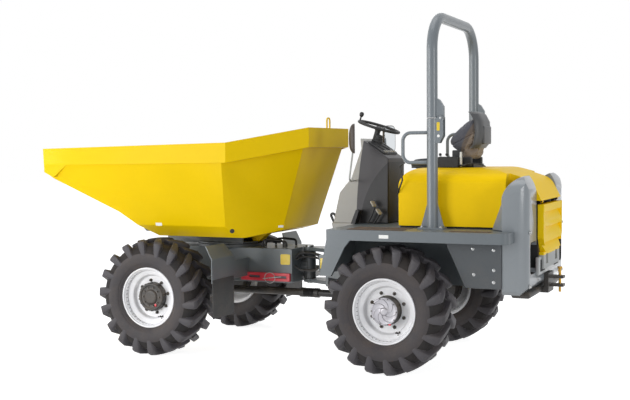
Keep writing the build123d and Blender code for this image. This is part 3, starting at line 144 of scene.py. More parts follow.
class Nodes:
    """A node tree with short calls to add and join nodes."""

    def __init__(self, tree: bpy.types.NodeTree) -> None:
        """Wraps an empty tree.

        Args:
            tree: the node tree that nodes are added to.
        """
        self.tree = tree

    @classmethod
    def emptied(cls, owner: bpy.types.Material | bpy.types.World) -> "Nodes":
        """Wraps the tree of a new material or world, without the nodes it comes with."""
        owner.use_nodes = True
        owner.node_tree.nodes.clear()
        return cls(owner.node_tree)

    def add(self, kind: str, **settings: object) -> bpy.types.Node:
        """Adds a node.

        Args:
            kind: the node's type name.
            **settings: its properties.

        Returns:
            The new node.
        """
        node = self.tree.nodes.new(kind)
        for name, value in settings.items():
            setattr(node, name, value)
        return node

    def feed(self, node: bpy.types.Node, socket: object, value: object) -> None:
        """Gives an input a value, or joins it to another node's output.

        Args:
            node: the node that has the input.
            socket: the input's name or index.
            value: a number, a colour or an output socket.
        """
        if isinstance(value, bpy.types.NodeSocket):
            self.tree.links.new(value, node.inputs[socket])
        else:
            node.inputs[socket].default_value = value

    def math(self, operation: str, *values: object, clamp: bool = False) -> bpy.types.NodeSocket:
        """Adds a Math node.

        Args:
            operation: the node's operation.
            *values: its inputs, in order.
            clamp: whether the result is kept between 0 and 1.

        Returns:
            The node's output.
        """
        node = self.add("ShaderNodeMath", operation=operation, use_clamp=clamp)
        for index, value in enumerate(values):
            self.feed(node, index, value)
        return node.outputs[0]

    def spread(
        self, value: object, low: float, high: float, to: Sequence[float] = (0.0, 1.0)
    ) -> bpy.types.NodeSocket:
        """Maps a range smoothly to another.

        Args:
            value: what is mapped.
            low: the start of its range.
            high: the end of its range.
            to: the range it is mapped to.

        Returns:
            The mapped value.
        """
        node = self.add("ShaderNodeMapRange", interpolation_type="SMOOTHSTEP")
        for index, item in enumerate((value, low, high, *to)):
            self.feed(node, index, item)
        return node.outputs[0]

    def mix(self, factor: object, low: object, high: object) -> bpy.types.NodeSocket:
        """Mixes two colours.

        Args:
            factor: 0 gives the first colour and 1 the second.
            low: the first colour.
            high: the second colour.

        Returns:
            The mixed colour.
        """
        node = self.add("ShaderNodeMix", data_type="RGBA")
        self.feed(node, 0, factor)
        self.feed(node, 6, low)
        self.feed(node, 7, high)
        return node.outputs[2]

    def noise(
        self, vector: object, scale: object, detail: float = 3.0, rough: float = 0.55
    ) -> bpy.types.NodeSocket:
        """Adds a noise texture.

        Args:
            vector: where it is read.
            scale: how many features a metre holds.
            detail: its octaves.
            rough: how strong the finer octaves are.

        Returns:
            The noise value.
        """
        node = self.add("ShaderNodeTexNoise")
        self.feed(node, "Vector", vector)
        self.feed(node, "Scale", scale)
        self.feed(node, "Detail", detail)
        self.feed(node, "Roughness", rough)
        return node.outputs[0]


class Effects:
    """Builds each shared node group once and hands it out."""

    SOCKETS: ClassVar[dict[Effect, tuple[tuple[str, ...], str, str]]] = {
        Effect.MOTTLE: (("Scale", "Spread"), "Value", "NodeSocketFloat"),
        Effect.EDGE: (("Radius", "Amount"), "Mask", "NodeSocketFloat"),
        Effect.DUST: (("Amount", "Top"), "Mask", "NodeSocketFloat"),
        **dict.fromkeys(
            (Effect.GRAIN, Effect.PEEL, Effect.WEAVE),
            (("Scale", "Strength", "Round"), "Normal", "NodeSocketVector"),
        ),
    }

    @classmethod
    def group(cls, effect: Effect) -> bpy.types.NodeTree:
        """The node group of one effect, made on its first use.

        Args:
            effect: which effect.

        Returns:
            Its node group.
        """
        name = f"effect_{effect.value}"
        if name in bpy.data.node_groups:
            return bpy.data.node_groups[name]
        tree = bpy.data.node_groups.new(name, "ShaderNodeTree")
        inputs, output, kind = cls.SOCKETS[effect]
        tree.interface.new_socket("Vector", in_out="INPUT", socket_type="NodeSocketVector")
        for item in inputs:
            tree.interface.new_socket(item, in_out="INPUT", socket_type="NodeSocketFloat")
        tree.interface.new_socket(output, in_out="OUTPUT", socket_type=kind)
        nodes = Nodes(tree)
        result = getattr(cls, effect.value)(nodes, nodes.add("NodeGroupInput").outputs)
        nodes.feed(nodes.add("NodeGroupOutput"), 0, result)
        return tree

    @staticmethod
    def mottle(nodes: Nodes, given: Sockets) -> bpy.types.NodeSocket:
        """A factor round 1 that drifts with two sizes of noise, by Spread each way.

        Args:
            nodes: the group's tree.
            given: the group's inputs by name.

        Returns:
            The factor.
        """
        coarse = nodes.noise(given["Vector"], given["Scale"])
        fine = nodes.noise(given["Vector"], nodes.math("MULTIPLY", given["Scale"], 9.0))
        mean = nodes.math("ADD", nodes.math("MULTIPLY", coarse, 1.3), nodes.math("MULTIPLY", fine, 0.7))
        drift = nodes.math("MULTIPLY", nodes.math("SUBTRACT", mean, 1.0), given["Spread"])
        return nodes.math("ADD", nodes.math("MULTIPLY", drift, 2.0), 1.0)

    @staticmethod
    def edge_wear(nodes: Nodes, given: Sockets) -> bpy.types.NodeSocket:
        """A mask of outer edges, where a bevelled normal leaves the true one, broken up by noise.

        Args:
            nodes: the group's tree.
            given: the group's inputs by name.

        Returns:
            The mask.
        """
        bevel = nodes.add("ShaderNodeBevel", samples=4)
        nodes.feed(bevel, "Radius", given["Radius"])
        true = nodes.add("ShaderNodeNewGeometry")
        dot = nodes.add("ShaderNodeVectorMath", operation="DOT_PRODUCT")
        nodes.feed(dot, 0, bevel.outputs[0])
        nodes.feed(dot, 1, true.outputs["Normal"])
        turned = nodes.spread(nodes.math("SUBTRACT", 1.0, dot.outputs["Value"]), 0.02, 0.2)
        broken = nodes.spread(nodes.noise(given["Vector"], 34.0, 4.0, 0.65), 0.35, 0.62)
        return nodes.math("MULTIPLY", nodes.math("MULTIPLY", turned, broken), given["Amount"], clamp=True)

    @staticmethod
    def dust_film(nodes: Nodes, given: Sockets) -> bpy.types.NodeSocket:
        """A mask of dust: patchy, stronger on faces that look up and below the height Top.

        Args:
            nodes: the group's tree.
            given: the group's inputs by name.

        Returns:
            The mask.
        """
        split = nodes.add("ShaderNodeSeparateXYZ")
        nodes.feed(split, 0, given["Vector"])
        low = nodes.spread(nodes.math("SUBTRACT", given["Top"], split.outputs[2]), -0.25, 0.5)
        facing = nodes.add("ShaderNodeSeparateXYZ")
        nodes.feed(facing, 0, nodes.add("ShaderNodeNewGeometry").outputs["Normal"])
        lying = nodes.spread(facing.outputs[2], -0.2, 0.9, (0.35, 1.0))
        patch = nodes.noise(given["Vector"], 5.0, 6.0, 0.62)
        speck = nodes.noise(given["Vector"], 70.0, 3.0, 0.6)
        cover = nodes.spread(nodes.math("MULTIPLY_ADD", speck, 0.35, patch), 0.48, 0.95)
        return nodes.math(
            "MULTIPLY", nodes.math("MULTIPLY", cover, lying), nodes.math(
                "MULTIPLY", low, given["Amount"]
            ), clamp=True
        )

    @staticmethod
    def bumped(nodes: Nodes, given: Sockets, height: object, depth: float) -> bpy.types.NodeSocket:
        """Turns a height into a normal.

        Args:
            nodes: the tree.
            given: the group's inputs by name.
            height: the height value.
            depth: how deep a height of 1 is, in metres.

        Returns:
            The bumped normal.
        """
        soft = nodes.add("ShaderNodeBevel", samples=4)
        nodes.feed(soft, "Radius", given["Round"])
        bump = nodes.add("ShaderNodeBump")
        nodes.feed(bump, "Normal", soft.outputs[0])
        nodes.feed(bump, "Strength", given["Strength"])
        nodes.feed(bump, "Distance", depth)
        nodes.feed(bump, "Height", height)
        return bump.outputs[0]

    @classmethod
    def grain(cls, nodes: Nodes, given: Sockets) -> bpy.types.NodeSocket:
        """The pebbled skin of moulded plastic and rubber, from rounded cells and fine noise.

        Args:
            nodes: the group's tree.
            given: the group's inputs by name.

        Returns:
            The bumped normal.
        """
        cells = nodes.add("ShaderNodeTexVoronoi", feature="SMOOTH_F1")
        nodes.feed(cells, "Vector", given["Vector"])
        nodes.feed(cells, "Scale", given["Scale"])
        fine = nodes.noise(given["Vector"], nodes.math("MULTIPLY", given["Scale"], 2.5))
        return cls.bumped(
            nodes, given, nodes.math("ADD", cells.outputs[0], nodes.math("MULTIPLY", fine, 0.5)), 0.0012
        )

    @classmethod
    def orange_peel(cls, nodes: Nodes, given: Sockets) -> bpy.types.NodeSocket:
        """The long soft waves of sprayed paint.

        Args:
            nodes: the group's tree.
            given: the group's inputs by name.

        Returns:
            The bumped normal.
        """
        waves = nodes.noise(given["Vector"], given["Scale"], 2.0, 0.5)
        return cls.bumped(nodes, given, waves, 0.0016)

    @classmethod
    def weave(cls, nodes: Nodes, given: Sockets) -> bpy.types.NodeSocket:
        """Woven threads, the product of sines along the three axes, with a little noise.

        Args:
            nodes: the group's tree.
            given: the group's inputs by name.

        Returns:
            The bumped normal.
        """
        split = nodes.add("ShaderNodeSeparateXYZ")
        nodes.feed(split, 0, given["Vector"])
        waves = [
            nodes.math(
                "SINE", nodes.math("MULTIPLY", split.outputs[index], given["Scale"])
            ) for index in range(3)
        ]
        threads = nodes.math(
            "ADD", nodes.math("MULTIPLY", waves[0], waves[1]), nodes.math("MULTIPLY", waves[1], waves[2])
        )
        fuzz = nodes.noise(given["Vector"], 420.0)
        return cls.bumped(nodes, given, nodes.math("ADD", threads, fuzz), 0.0007)


# ------------------------------------------------------------------------ finishes
def tone(code: str) -> tuple[float, float, float, float]:
    """Linear colour of a screen colour.

    Args:
        code: six hexadecimal digits, red first.

    Returns:
        Red, green, blue and 1.
    """
    screen = np.array([int(code[i : i + 2], 16) / 255 for i in (0, 2, 4)])
    linear = np.where(screen <= 0.04045, screen / 12.92, ((screen + 0.055) / 1.055) ** 2.4)
    return (*map(float, linear), 1.0)


@dataclass(frozen=True)
class Finish:
    """One finish, from its colour down to its dust, made into a material on first use."""

    name: str
    colour: str
    rough: float = 0.4
    metal: float = 0.0
    coat: float = 0.0
    specular: float = 0.5
    skin: Effect = Effect.PEEL
    skin_scale: float = 60.0
    skin_strength: float = 0.15
    spread: float = 0.05
    mottle_scale: float = 4.0
    wear: str = "9a9a96"
    wear_amount: float = 0.35
    wear_radius: float = 0.003
    dust: str = "a3917c"
    dust_amount: float = 0.3
    dust_top: float = 0.9
    sheen: float = 0.0
    edge_round: float = 0.003

    def group(self, nodes: Nodes, effect: Effect, vector: object, **values: float) -> bpy.types.NodeSocket:
        """Adds a shared effect to this finish's tree.

        Args:
            nodes: the material's tree.
            effect: which effect.
            vector: where it is read.
            **values: the group's numbers.

        Returns:
            The group's output.
        """
        node = nodes.add("ShaderNodeGroup")
        node.node_tree = Effects.group(effect)
        nodes.feed(node, "Vector", vector)
        for name, value in values.items():
            nodes.feed(node, name, value)
        return node.outputs[0]

    def base(self, nodes: Nodes, vector: bpy.types.NodeSocket) -> object:
        """The clean red, green and blue, which a patterned finish replaces with its own."""
        return tone(self.colour)[:3]

    def material(self) -> bpy.types.Material:
        """The finish as a material.

        Returns:
            The material, made on the first call and shared after it.
        """
        name = f"finish_{self.name}"
        if name in bpy.data.materials:
            return bpy.data.materials[name]
        made = bpy.data.materials.new(name)
        nodes = Nodes.emptied(made)
        vector = nodes.add("ShaderNodeTexCoord").outputs["Object"]
        shader = nodes.add("ShaderNodeBsdfPrincipled")
        mottle = self.group(nodes, Effect.MOTTLE, vector, Scale=self.mottle_scale, Spread=self.spread)
        colour = nodes.add("ShaderNodeVectorMath", operation="SCALE")
        nodes.feed(colour, 0, self.base(nodes, vector))
        nodes.feed(colour, "Scale", mottle)
        edge = self.group(nodes, Effect.EDGE, vector, Radius=self.wear_radius, Amount=self.wear_amount)
        worn = nodes.mix(edge, colour.outputs[0], tone(self.wear))
        film = self.group(nodes, Effect.DUST, vector, Amount=self.dust_amount, Top=self.dust_top)
        nodes.feed(shader, "Base Color", nodes.mix(film, worn, tone(self.dust)))
        rough = nodes.math("MULTIPLY", mottle, self.rough)
        nodes.feed(
            shader,
            "Roughness",
            nodes.math("ADD", rough, nodes.spread(film, 0.0, 1.0, (0.0, 0.4)), clamp=True),
        )
        skin = self.group(
            nodes, self.skin, vector, Scale=self.skin_scale, Strength=self.skin_strength,
            Round=self.edge_round,
        )
        nodes.feed(shader, "Normal", skin)
        shader.inputs["Metallic"].default_value = self.metal
        shader.inputs["Specular IOR Level"].default_value = self.specular
        shader.inputs["Coat Weight"].default_value = self.coat
        shader.inputs["Coat Roughness"].default_value = 0.12
        shader.inputs["Sheen Weight"].default_value = self.sheen
        nodes.feed(nodes.add("ShaderNodeOutputMaterial"), 0, shader.outputs[0])
        return made


@dataclass(frozen=True)
class SteppedFinish(Finish):
    """A finish that changes colour across curved lines of the side view."""

    steps: tuple[tuple[str, float, float, float, float, float], ...] = ()
    blur: float = 0.004

    def base(self, nodes: Nodes, vector: bpy.types.NodeSocket) -> bpy.types.NodeSocket:
        """Starts with the finish's colour and lays each step over it in turn.

        A step is (colour, x0, z0, x1, z1, bow) and covers what lies to the right of the line
        from its first point to its second. The signed distance to the line is the cross
        product of its direction and the point's offset, and the bow bends the line by a
        parabola over its length.

        Args:
            nodes: the material's tree.
            vector: where the pattern is read.

        Returns:
            The patterned colour.
        """
        split = nodes.add("ShaderNodeSeparateXYZ")
        nodes.feed(split, 0, vector)
        colour: object = tone(self.colour)
        for other, x0, z0, x1, z1, bow in self.steps:
            length = math.hypot(x1 - x0, z1 - z0)
            dx, dz = (x1 - x0) / length, (z1 - z0) / length
            off_x = nodes.math("SUBTRACT", split.outputs[0], x0)
            off_z = nodes.math("SUBTRACT", split.outputs[2], z0)
            across = nodes.math(
                "SUBTRACT", nodes.math("MULTIPLY", off_z, dx), nodes.math("MULTIPLY", off_x, dz)
            )
            along = nodes.math(
                "ADD", nodes.math("MULTIPLY", off_x, dx / length), nodes.math("MULTIPLY", off_z, dz / length)
            )
            arch = nodes.math(
                "MULTIPLY", nodes.math("MULTIPLY", along, nodes.math("SUBTRACT", 1.0, along)), 4 * bow
            )
            side = nodes.spread(nodes.math("ADD", across, arch), -self.blur, self.blur)
            colour = nodes.mix(side, tone(other), colour)
        return colour


class Paint:
    """Every finish of the dumper."""

    YELLOW = Finish(
        "yellow_paint", "fed20c", 0.45, coat=0.02, specular=0.08, spread=0.03, wear="cf9c00",
        wear_amount=0.1, dust_amount=0.0,
    )
    SKIP = Finish(
        "skip_yellow", "eec800", 0.45, coat=0.02, specular=0.1, spread=0.03, wear="c9a600",
        wear_amount=0.35, dust_amount=0.03,
    )
    SLATE = Finish("slate_paint", "62696d", 0.42, coat=0.2, wear="85898a", dust_amount=0.4)
    DARK_SLATE = Finish("dark_slate_paint", "43484c", 0.45, coat=0.1, wear="74787a", dust_amount=0.45)
    CASTING = Finish(
        "casting_slate", "83898d", 0.28, coat=0.4, wear="8b9094", wear_amount=0.2, spread=0.03,
        dust_amount=0.15, dust_top=0.8,
    )
    PALE = Finish(
        "pale_grey_paint", "a9acab", 0.4, coat=0.2, wear="d5d6d4", spread=0.03, dust_amount=0.22, dust_top=0.8
    )
    GRILLE = SteppedFinish(
        "grille_panels", "fed606", 0.45, coat=0.02, specular=0.12, spread=0.03, wear="d9b400",
        dust_amount=0.0,
        steps=(("a9acab", -3.0, 0.985, -2.0, 0.985, 0.0),),
    )
    TUBE = Finish("tube_grey_paint", "71787d", 0.36, coat=0.25, wear="979b9c", dust_amount=0.0)
    BLACK = Finish("black_paint", "151618", 0.45, wear="4a4b4c", dust_amount=0.45)
    PLASTIC = Finish(
        "black_plastic", "1d1e20", 0.55, skin=Effect.GRAIN, skin_scale=520.0, skin_strength=0.25,
        dust_amount=0.25,
    )
    BEIGE = Finish(
        "beige_plastic", "b5b0a4", 0.5, skin=Effect.GRAIN, skin_scale=520.0, skin_strength=0.2,
        dust_amount=0.1,
    )
    RUBBER = Finish(
        "tyre_rubber", "383537", 0.66, specular=0.4, skin=Effect.GRAIN, skin_scale=260.0,
        skin_strength=0.35, spread=0.12, mottle_scale=7.0, wear="5f5a57", wear_amount=0.5,
        wear_radius=0.006, dust="6b5d52", dust_amount=0.5, dust_top=1.3,
    )
    LUGS = replace(
        RUBBER, name="lug_rubber", colour="403e42", rough=0.58, wear="77737a", wear_amount=0.6,
        dust_amount=0.25,
    )
    # near-black copy of the tyre rubber for the carcass between the lugs: painted shade in the gaps, with
    # dust on it
    TREAD_SHADE = replace(RUBBER, name="tread_painted_shade", colour="181617", rough=0.8, dust="4e433b", dust_amount=0.45)
    SILVER = Finish(
        "rim_silver", "f4f4f6", 0.36, coat=0.2, wear="b5b3ae", wear_amount=0.12,
        dust="9c8d7b", dust_amount=0.25, dust_top=1.2,
    )
    DARK_ZINC = Finish("dark_zinc", "4a4744", 0.4, metal=0.7, wear="8a8680", dust_amount=0.4)
    CONSOLE = SteppedFinish(
        "console_panels", "a8a6a0", 0.5, skin=Effect.GRAIN, skin_scale=520.0, skin_strength=0.2,
        dust_amount=0.15,
        steps=(
            # charcoal behind the pale front, then black below a curved edge
            ("383639", -0.653, 1.994, -0.571, 1.186, -0.02),
            ("0c0b0e", -0.9, 1.78, -0.606, 1.15, -0.08),
        ),
    )
    STEEL = Finish("bare_steel", "a9abab", 0.28, metal=0.9, wear="d0d0d0", dust_amount=0.3)
    CAST = Finish(
        "cast_alloy", "a3a2a8", 0.34, metal=0.7, skin=Effect.GRAIN, skin_scale=420.0, dust_amount=0.3
    )
    GOLD = Finish("zinc_gold", "b08a3c", 0.32, metal=0.85, wear="d8b86a", dust_amount=0.2)
    RED = Finish("red_paint", "e23546", 0.38, coat=0.2, wear="7c5b57", dust_amount=0.3)
    LENS = Finish("red_lens", "a5121a", 0.12, coat=0.8, specular=0.6, wear_amount=0.0, dust_amount=0.1)
    MIRROR = Finish(
        "mirror_glass", "dfe3e6", 0.04, metal=1.0, wear_amount=0.0, dust_amount=0.05,
        skin_strength=0.0, spread=0.0,
    )
    SHELL = Finish("brown_shell", "3b322c", 0.5, skin=Effect.GRAIN, skin_scale=480.0, dust_amount=0.1)
    LABEL = Finish("blank_label", "f2f2ee", 0.35, coat=0.3, wear_amount=0.1, dust_amount=0.1)
    LABEL_YELLOW = Finish("blank_label_yellow", "e8c81c", 0.35, coat=0.3, wear_amount=0.1, dust_amount=0.1)
    HOSE = Finish("hose_rubber", "171719", 0.5, wear_amount=0.1, dust_amount=0.3)
    GRIP = Finish(
        "anti_slip_strip", "5d4d40", 0.85, skin=Effect.GRAIN, skin_scale=900.0, skin_strength=0.8,
        dust_amount=0.3,
    )
    FABRIC = Finish(
        "seat_cover", "34383f", 0.78, skin=Effect.WEAVE, skin_scale=2400.0, skin_strength=0.5,
        spread=0.08, wear="4b4f55", wear_radius=0.006, dust_amount=0.0, sheen=0.25,
    )
    SEAT_BACK = SteppedFinish(
        "seat_back_cover", "41424b", 0.6, skin=Effect.WEAVE, skin_scale=2400.0, skin_strength=0.4,
        spread=0.06, wear="5a5a60", wear_radius=0.006, dust_amount=0.0, sheen=0.2, blur=0.008,
        steps=(
            # a brown band, then the taupe side
            ("5b5048", -1.69, 2.14, -1.525, 1.74, -0.035),
            ("85776a", -1.71, 2.09, -1.55, 1.74, -0.03),
        ),
    )
    SEAT_SHELL = Finish(
        "seat_shell", "4a4b4d", 0.45, skin=Effect.GRAIN, skin_scale=480.0, skin_strength=0.2, dust_amount=0.0
    )
    # near-black with no wear or dust: painted shade, laid in gaps and recesses
    DARK = Finish("gap_painted_shade", "0d0e0f", 0.8, wear_amount=0.0, dust_amount=0.0)


# ------------------------------------------------------------------------- meshing
class Mesher:
    """Collects surfaces and turns them into one piece of the dumper."""

    def __init__(self, name: str) -> None:
        """Starts an empty piece.

        Args:
            name: the piece's name.
        """
        self.name = name
        self.points: list[Points] = []
        self.faces: list[Points] = []
        self.marks: list[Points] = []
        self.total = 0

    def grid(self, grid: Points, ring: bool = False, mark: int = 0) -> "Mesher":
        """Adds a surface given as a grid of points, whose columns close on themselves.

        Each quad joins the points (i, j), (i + 1, j), (i + 1, j + 1) and (i, j + 1).

        Args:
            grid: points of shape (..., rows, columns, 3); leading sizes are copies.
            ring: whether the rows close on themselves.
            mark: which of the piece's finishes it takes.

        Returns:
            This piece, so that calls can follow on.
        """
        rows, columns = grid.shape[-3:-1]
        copies = grid.reshape(-1, rows * columns, 3)
        i = np.arange(rows if ring else rows - 1)[:, None]
        j = np.arange(columns)[None, :]
        i2, j2 = (i + 1) % rows, (j + 1) % columns
        quads = np.stack(
            (i * columns + j, i2 * columns + j, i2 * columns + j2, i * columns + j2), -1
        ).reshape(-1, 4)
        starts = self.total + np.arange(len(copies))[:, None, None] * rows * columns
        self.points.append(copies.reshape(-1, 3))
        self.faces.append((quads[None] + starts).reshape(-1, 4))
        self.marks.append(np.full(len(copies) * len(quads), mark))
        self.total += len(copies) * rows * columns
        return self

    def make(
        self,
        body: Optional[Body],
        finishes: Sequence[Finish],
        replaces: Sequence[str] = (),
        crease: float = 35.0,
    ) -> bpy.types.Object:
        """body: the body it rides on, or None to leave it on no body.
            finishes: its finishes, by mark.
            replaces: CAD nodes that it stands for.
            crease: faces that meet at more than this angle, in degrees, keep a sharp edge.

        Returns:
            The object.
        """
        mesh = bpy.data.meshes.new(self.name)
        mesh.from_pydata(np.concatenate(self.points).tolist(), [], np.concatenate(self.faces).tolist())
        mesh.polygons.foreach_set("material_index", np.concatenate(self.marks).astype(np.int32))
        shape = bmesh.new()
        shape.from_mesh(mesh)
        bmesh.ops.remove_doubles(shape, verts=shape.verts, dist=2e-5)
        bmesh.ops.dissolve_degenerate(shape, edges=shape.edges, dist=1e-6)
        bmesh.ops.recalc_face_normals(shape, faces=shape.faces)
        shape.to_mesh(mesh)
        shape.free()
        all_smooth(mesh, crease)
        piece = linked(self.name, mesh, finishes)
        if body:
            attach(piece, body.value)
        if replaces:
            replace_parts(piece, *replaces)
        LOG.info("%s: %d faces on %s", self.name, len(mesh.polygons), body.value if body else "two bodies")
        return piece


def revolved(profile: Points, centre: Sequence[float], axis: Sequence[float], turns: int = 64) -> Points:
    """Surface of revolution: each (along, radius) pair runs once round the axis.

    The point at angle t is the centre, plus along times the axis, plus radius times
    (cos t, sin t) in the plane across the axis.

    Args:
        profile: rows of (along, radius).
        centre: the point that along is measured from.
        axis: the axis's direction.
        turns: points round the axis.

    Returns:
        A grid of shape (profile rows, turns, 3).
    """
    profile, axis = np.asarray(profile, float), np.asarray(axis, float)
    axis = axis / np.linalg.norm(axis)
    helper = UP if abs(axis[2]) < 0.9 else np.array((1.0, 0.0, 0.0))
    first = np.cross(helper, axis)
    first /= np.linalg.norm(first)
    second = np.cross(axis, first)
    angle = np.linspace(0, 2 * math.pi, turns, endpoint=False)[None, :, None]
    reach = profile[:, 1][:, None, None] * (np.cos(angle) * first + np.sin(angle) * second)
    return np.asarray(centre, float) + profile[:, 0][:, None, None] * axis + reach


def swept(path: Points, section: Points, up: Sequence[float] = (0, 0, 1), closed: bool = False) -> Points:
    """Surface of a section carried along a path.

    At each point, across is the direction of travel crossed with up, and the section's
    (across, up) pairs are laid off from the path's point. Open ends close onto the path.

    Args:
        path: points of shape (n, 3).
        section: closed loop of (across, up) pairs.
        up: the direction that the section's second number points to.
        closed: whether the path closes on itself.

    Returns:
        A grid of shape (rows, section points, 3).
    """
    path = np.asarray(path, float)
    ends = np.concatenate((path[-1:], path, path[:1])) if closed else np.pad(
        path, ((1, 1), (0, 0)), mode="reflect", reflect_type="odd"
    )
    travel = ends[2:] - ends[:-2]
    travel /= np.linalg.norm(travel, axis=1, keepdims=True)
    across = np.cross(travel, np.asarray(up, float))
    across /= np.linalg.norm(across, axis=1, keepdims=True)
    rise = np.cross(across, travel)
    section = np.asarray(section, float)
    surface = path[:, None] + section[None, :, :1] * across[:, None] + section[None, :, 1:] * rise[:, None]
    if closed:
        return surface
    tips = np.repeat(path[[0, -1], None], len(section), axis=1)
    return np.concatenate((tips[:1], surface, tips[1:]))


def ring_section(radius: float, sides: int = 12) -> Points:
    """Circle of (across, up) pairs: radius times (cos t, sin t)."""
    angle = np.linspace(0, 2 * math.pi, sides, endpoint=False)
    return radius * np.stack((np.cos(angle), np.sin(angle)), -1)


def rounded_rect(width: float, height: float, radius: float, corner: int = 5) -> Points:
    """Closed loop of a rounded rectangle: four corner arcs joined by straight sides.

    Args:
        width: its full width.
        height: its full height.
        radius: radius of the corners.
        corner: points on each corner.

    Returns:
        Loop of shape (4 * corner, 2).
    """
    angle = np.linspace(0, math.pi / 2, corner)[None] + np.arange(4)[:, None] * math.pi / 2
    signs = np.array(((1, 1), (-1, 1), (-1, -1), (1, -1)))[:, None]
    middle = signs * np.array((width / 2 - radius, height / 2 - radius))
    return (middle + radius * np.stack((np.cos(angle), np.sin(angle)), -1)).reshape(-1, 2)


def resampled(
    corners: Sequence[Sequence[float]], radius: float, corner: int = 6, closed: bool = True
) -> Points:
    """Polyline with its corners rounded by quadratic arcs.

    Near each corner the curve is (1-t)^2 a + 2 t (1-t) c + t^2 b, where a and b lie at
    radius, or at most 0.45 of a side, from the corner c.

    Args:
        corners: the polyline's corners, in any number of dimensions.
        radius: how far from a corner the rounding starts.
        corner: points on each corner.
        closed: whether the polyline closes on itself.

    Returns:
        The rounded polyline.
    """
    corners = np.asarray(corners, float)
    before, after = np.roll(corners, 1, 0) - corners, np.roll(corners, -1, 0) - corners
    reach_b = np.minimum(radius, 0.45 * np.linalg.norm(before, axis=1))[:, None]
    reach_a = np.minimum(radius, 0.45 * np.linalg.norm(after, axis=1))[:, None]
    start = corners + before / np.linalg.norm(before, axis=1, keepdims=True) * reach_b
    end = corners + after / np.linalg.norm(after, axis=1, keepdims=True) * reach_a
    if not closed:
        start[0] = end[0] = corners[0]
        start[-1] = end[-1] = corners[-1]
    t = np.linspace(0, 1, corner)[None, :, None]
    curve = (1 - t) ** 2 * start[:, None] + 2 * t * (1 - t) * corners[:, None] + t**2 * end[:, None]
    curve = curve.reshape(-1, corners.shape[1])
    if not closed:
        curve = curve[corner - 1 : len(curve) - corner + 1]
    return curve


def facing(out: Points) -> tuple[Points, Points, Points]:
    """Right, up and outward directions of something that faces outward that way.

    Args:
        out: the unit vector that it faces along.

    Returns:
        The three directions.
    """
    helper = UP if abs(out[2]) < 0.95 else np.array((1.0, 0.0, 0.0))
    right = np.cross(helper, out)
    right /= np.linalg.norm(right)
    return right, np.cross(out, right), out


def apart(line: Points) -> Points:
    """A polyline without the points that repeat the one before them."""
    return line[np.append(np.linalg.norm(np.diff(line, axis=0), axis=1) > 1e-6, True)]


def plate(outline: Points, low: float, high: float, edge: float = 0.002) -> Points:
    """Closed plate over a star-shaped outline, in its own (u, v, w) frame.

    The rows run from the middle of the lower face out to its rim, up the side and back to
    the middle of the upper face; the rim is drawn in by edge where it meets the faces.

    Args:
        outline: closed loop of (u, v) pairs.
        low: w of the lower face.
        high: w of the upper face.
        edge: size of the bevel round the faces.

    Returns:
        A grid of shape (rows, outline points, 3).
    """
    outline = np.asarray(outline, float)
    middle = outline.mean(0)
    size = np.linalg.norm(outline - middle, axis=1, keepdims=True)
    inset = middle + (outline - middle) * (1 - edge / size)
    rows = (
        (middle + 0 * outline, low),
        (inset, low),
        (outline, low + edge),
        (outline, high - edge),
        (inset, high),
        (middle + 0 * outline, high),
    )
    return np.stack([np.column_stack((loop, np.full(len(loop), w))) for loop, w in rows])


def placed(
    grid: Points,
    origin: Sequence[float],
    u: Sequence[float],
    v: Sequence[float],
    w: Optional[Sequence[float]] = None,
) -> Points:
    """Moves a (u, v, w) grid into the dumper's frame.

    Args:
        grid: points as (u, v, w).
        origin: where (0, 0, 0) goes.
        u: direction of the first number.
        v: direction of the second number.
        w: direction of the third number; u crossed with v if it isn't given.

    Returns:
        The points in the dumper's frame.
    """
    u, v = (np.asarray(item, float) / np.linalg.norm(item) for item in (u, v))
    w = np.cross(u, v) if w is None else np.asarray(w, float) / np.linalg.norm(w)
    return np.asarray(origin, float) + grid[..., :1] * u + grid[..., 1:2] * v + grid[..., 2:3] * w


def soft_box(centre: Sequence[float], size: Sequence[float], radius: float, steps: int = 5) -> Points:
    """Box with rounded edges and corners, as one surface over longitude and latitude.

    A unit direction d gives the point sign(d) times the inner half sizes plus radius times d.
    The steps in longitude and latitude gather in the eight corners, and the flats span between.

    Args:
        centre: its middle.
        size: its three full sizes.
        radius: radius of its edges.
        steps: points on each quarter turn.

    Returns:
        A grid of shape (rows, columns, 3).
    """
    quarter = np.linspace(0.0, math.pi / 2, steps)
    lon = (quarter[None] + np.arange(4)[:, None] * math.pi / 2).ravel()
    lon_sign = np.array(((1, 1), (-1, 1), (-1, -1), (1, -1))).repeat(steps, 0)
    lat = np.concatenate((quarter - math.pi / 2, quarter))
    lat_sign = np.array((-1, 1)).repeat(steps)
    inner = np.asarray(size, float) / 2 - radius
    rows, columns = lat[:, None], lon[None]
    ball = np.stack(
        np.broadcast_arrays(np.cos(rows) * np.cos(columns), np.cos(rows) * np.sin(columns), np.sin(rows)), -1
    )
    signs = np.stack(np.broadcast_arrays(lon_sign[:, 0], lon_sign[:, 1], lat_sign[:, None]), -1)
    inside = signs * inner
    body = inside + radius * ball
    poles = np.stack((body[:1], body[-1:]))
    poles = np.concatenate([np.broadcast_to(pole.mean((0, 1)), body[:1].shape) for pole in poles])
    return np.asarray(centre, float) + np.concatenate((poles[:1], body, poles[1:]))


def read(mesh: bpy.types.Mesh, what: str = "co") -> Points:
    """Places or normals of a mesh's points, as rows of three."""
    values = np.empty(len(mesh.vertices) * 3)
    mesh.vertices.foreach_get(what, values)
    return values.reshape(-1, 3)


def write(mesh: bpy.types.Mesh, places: Points) -> None:
    """Moves a mesh's points to new places."""
    mesh.vertices.foreach_set("co", places.ravel())
    mesh.update()


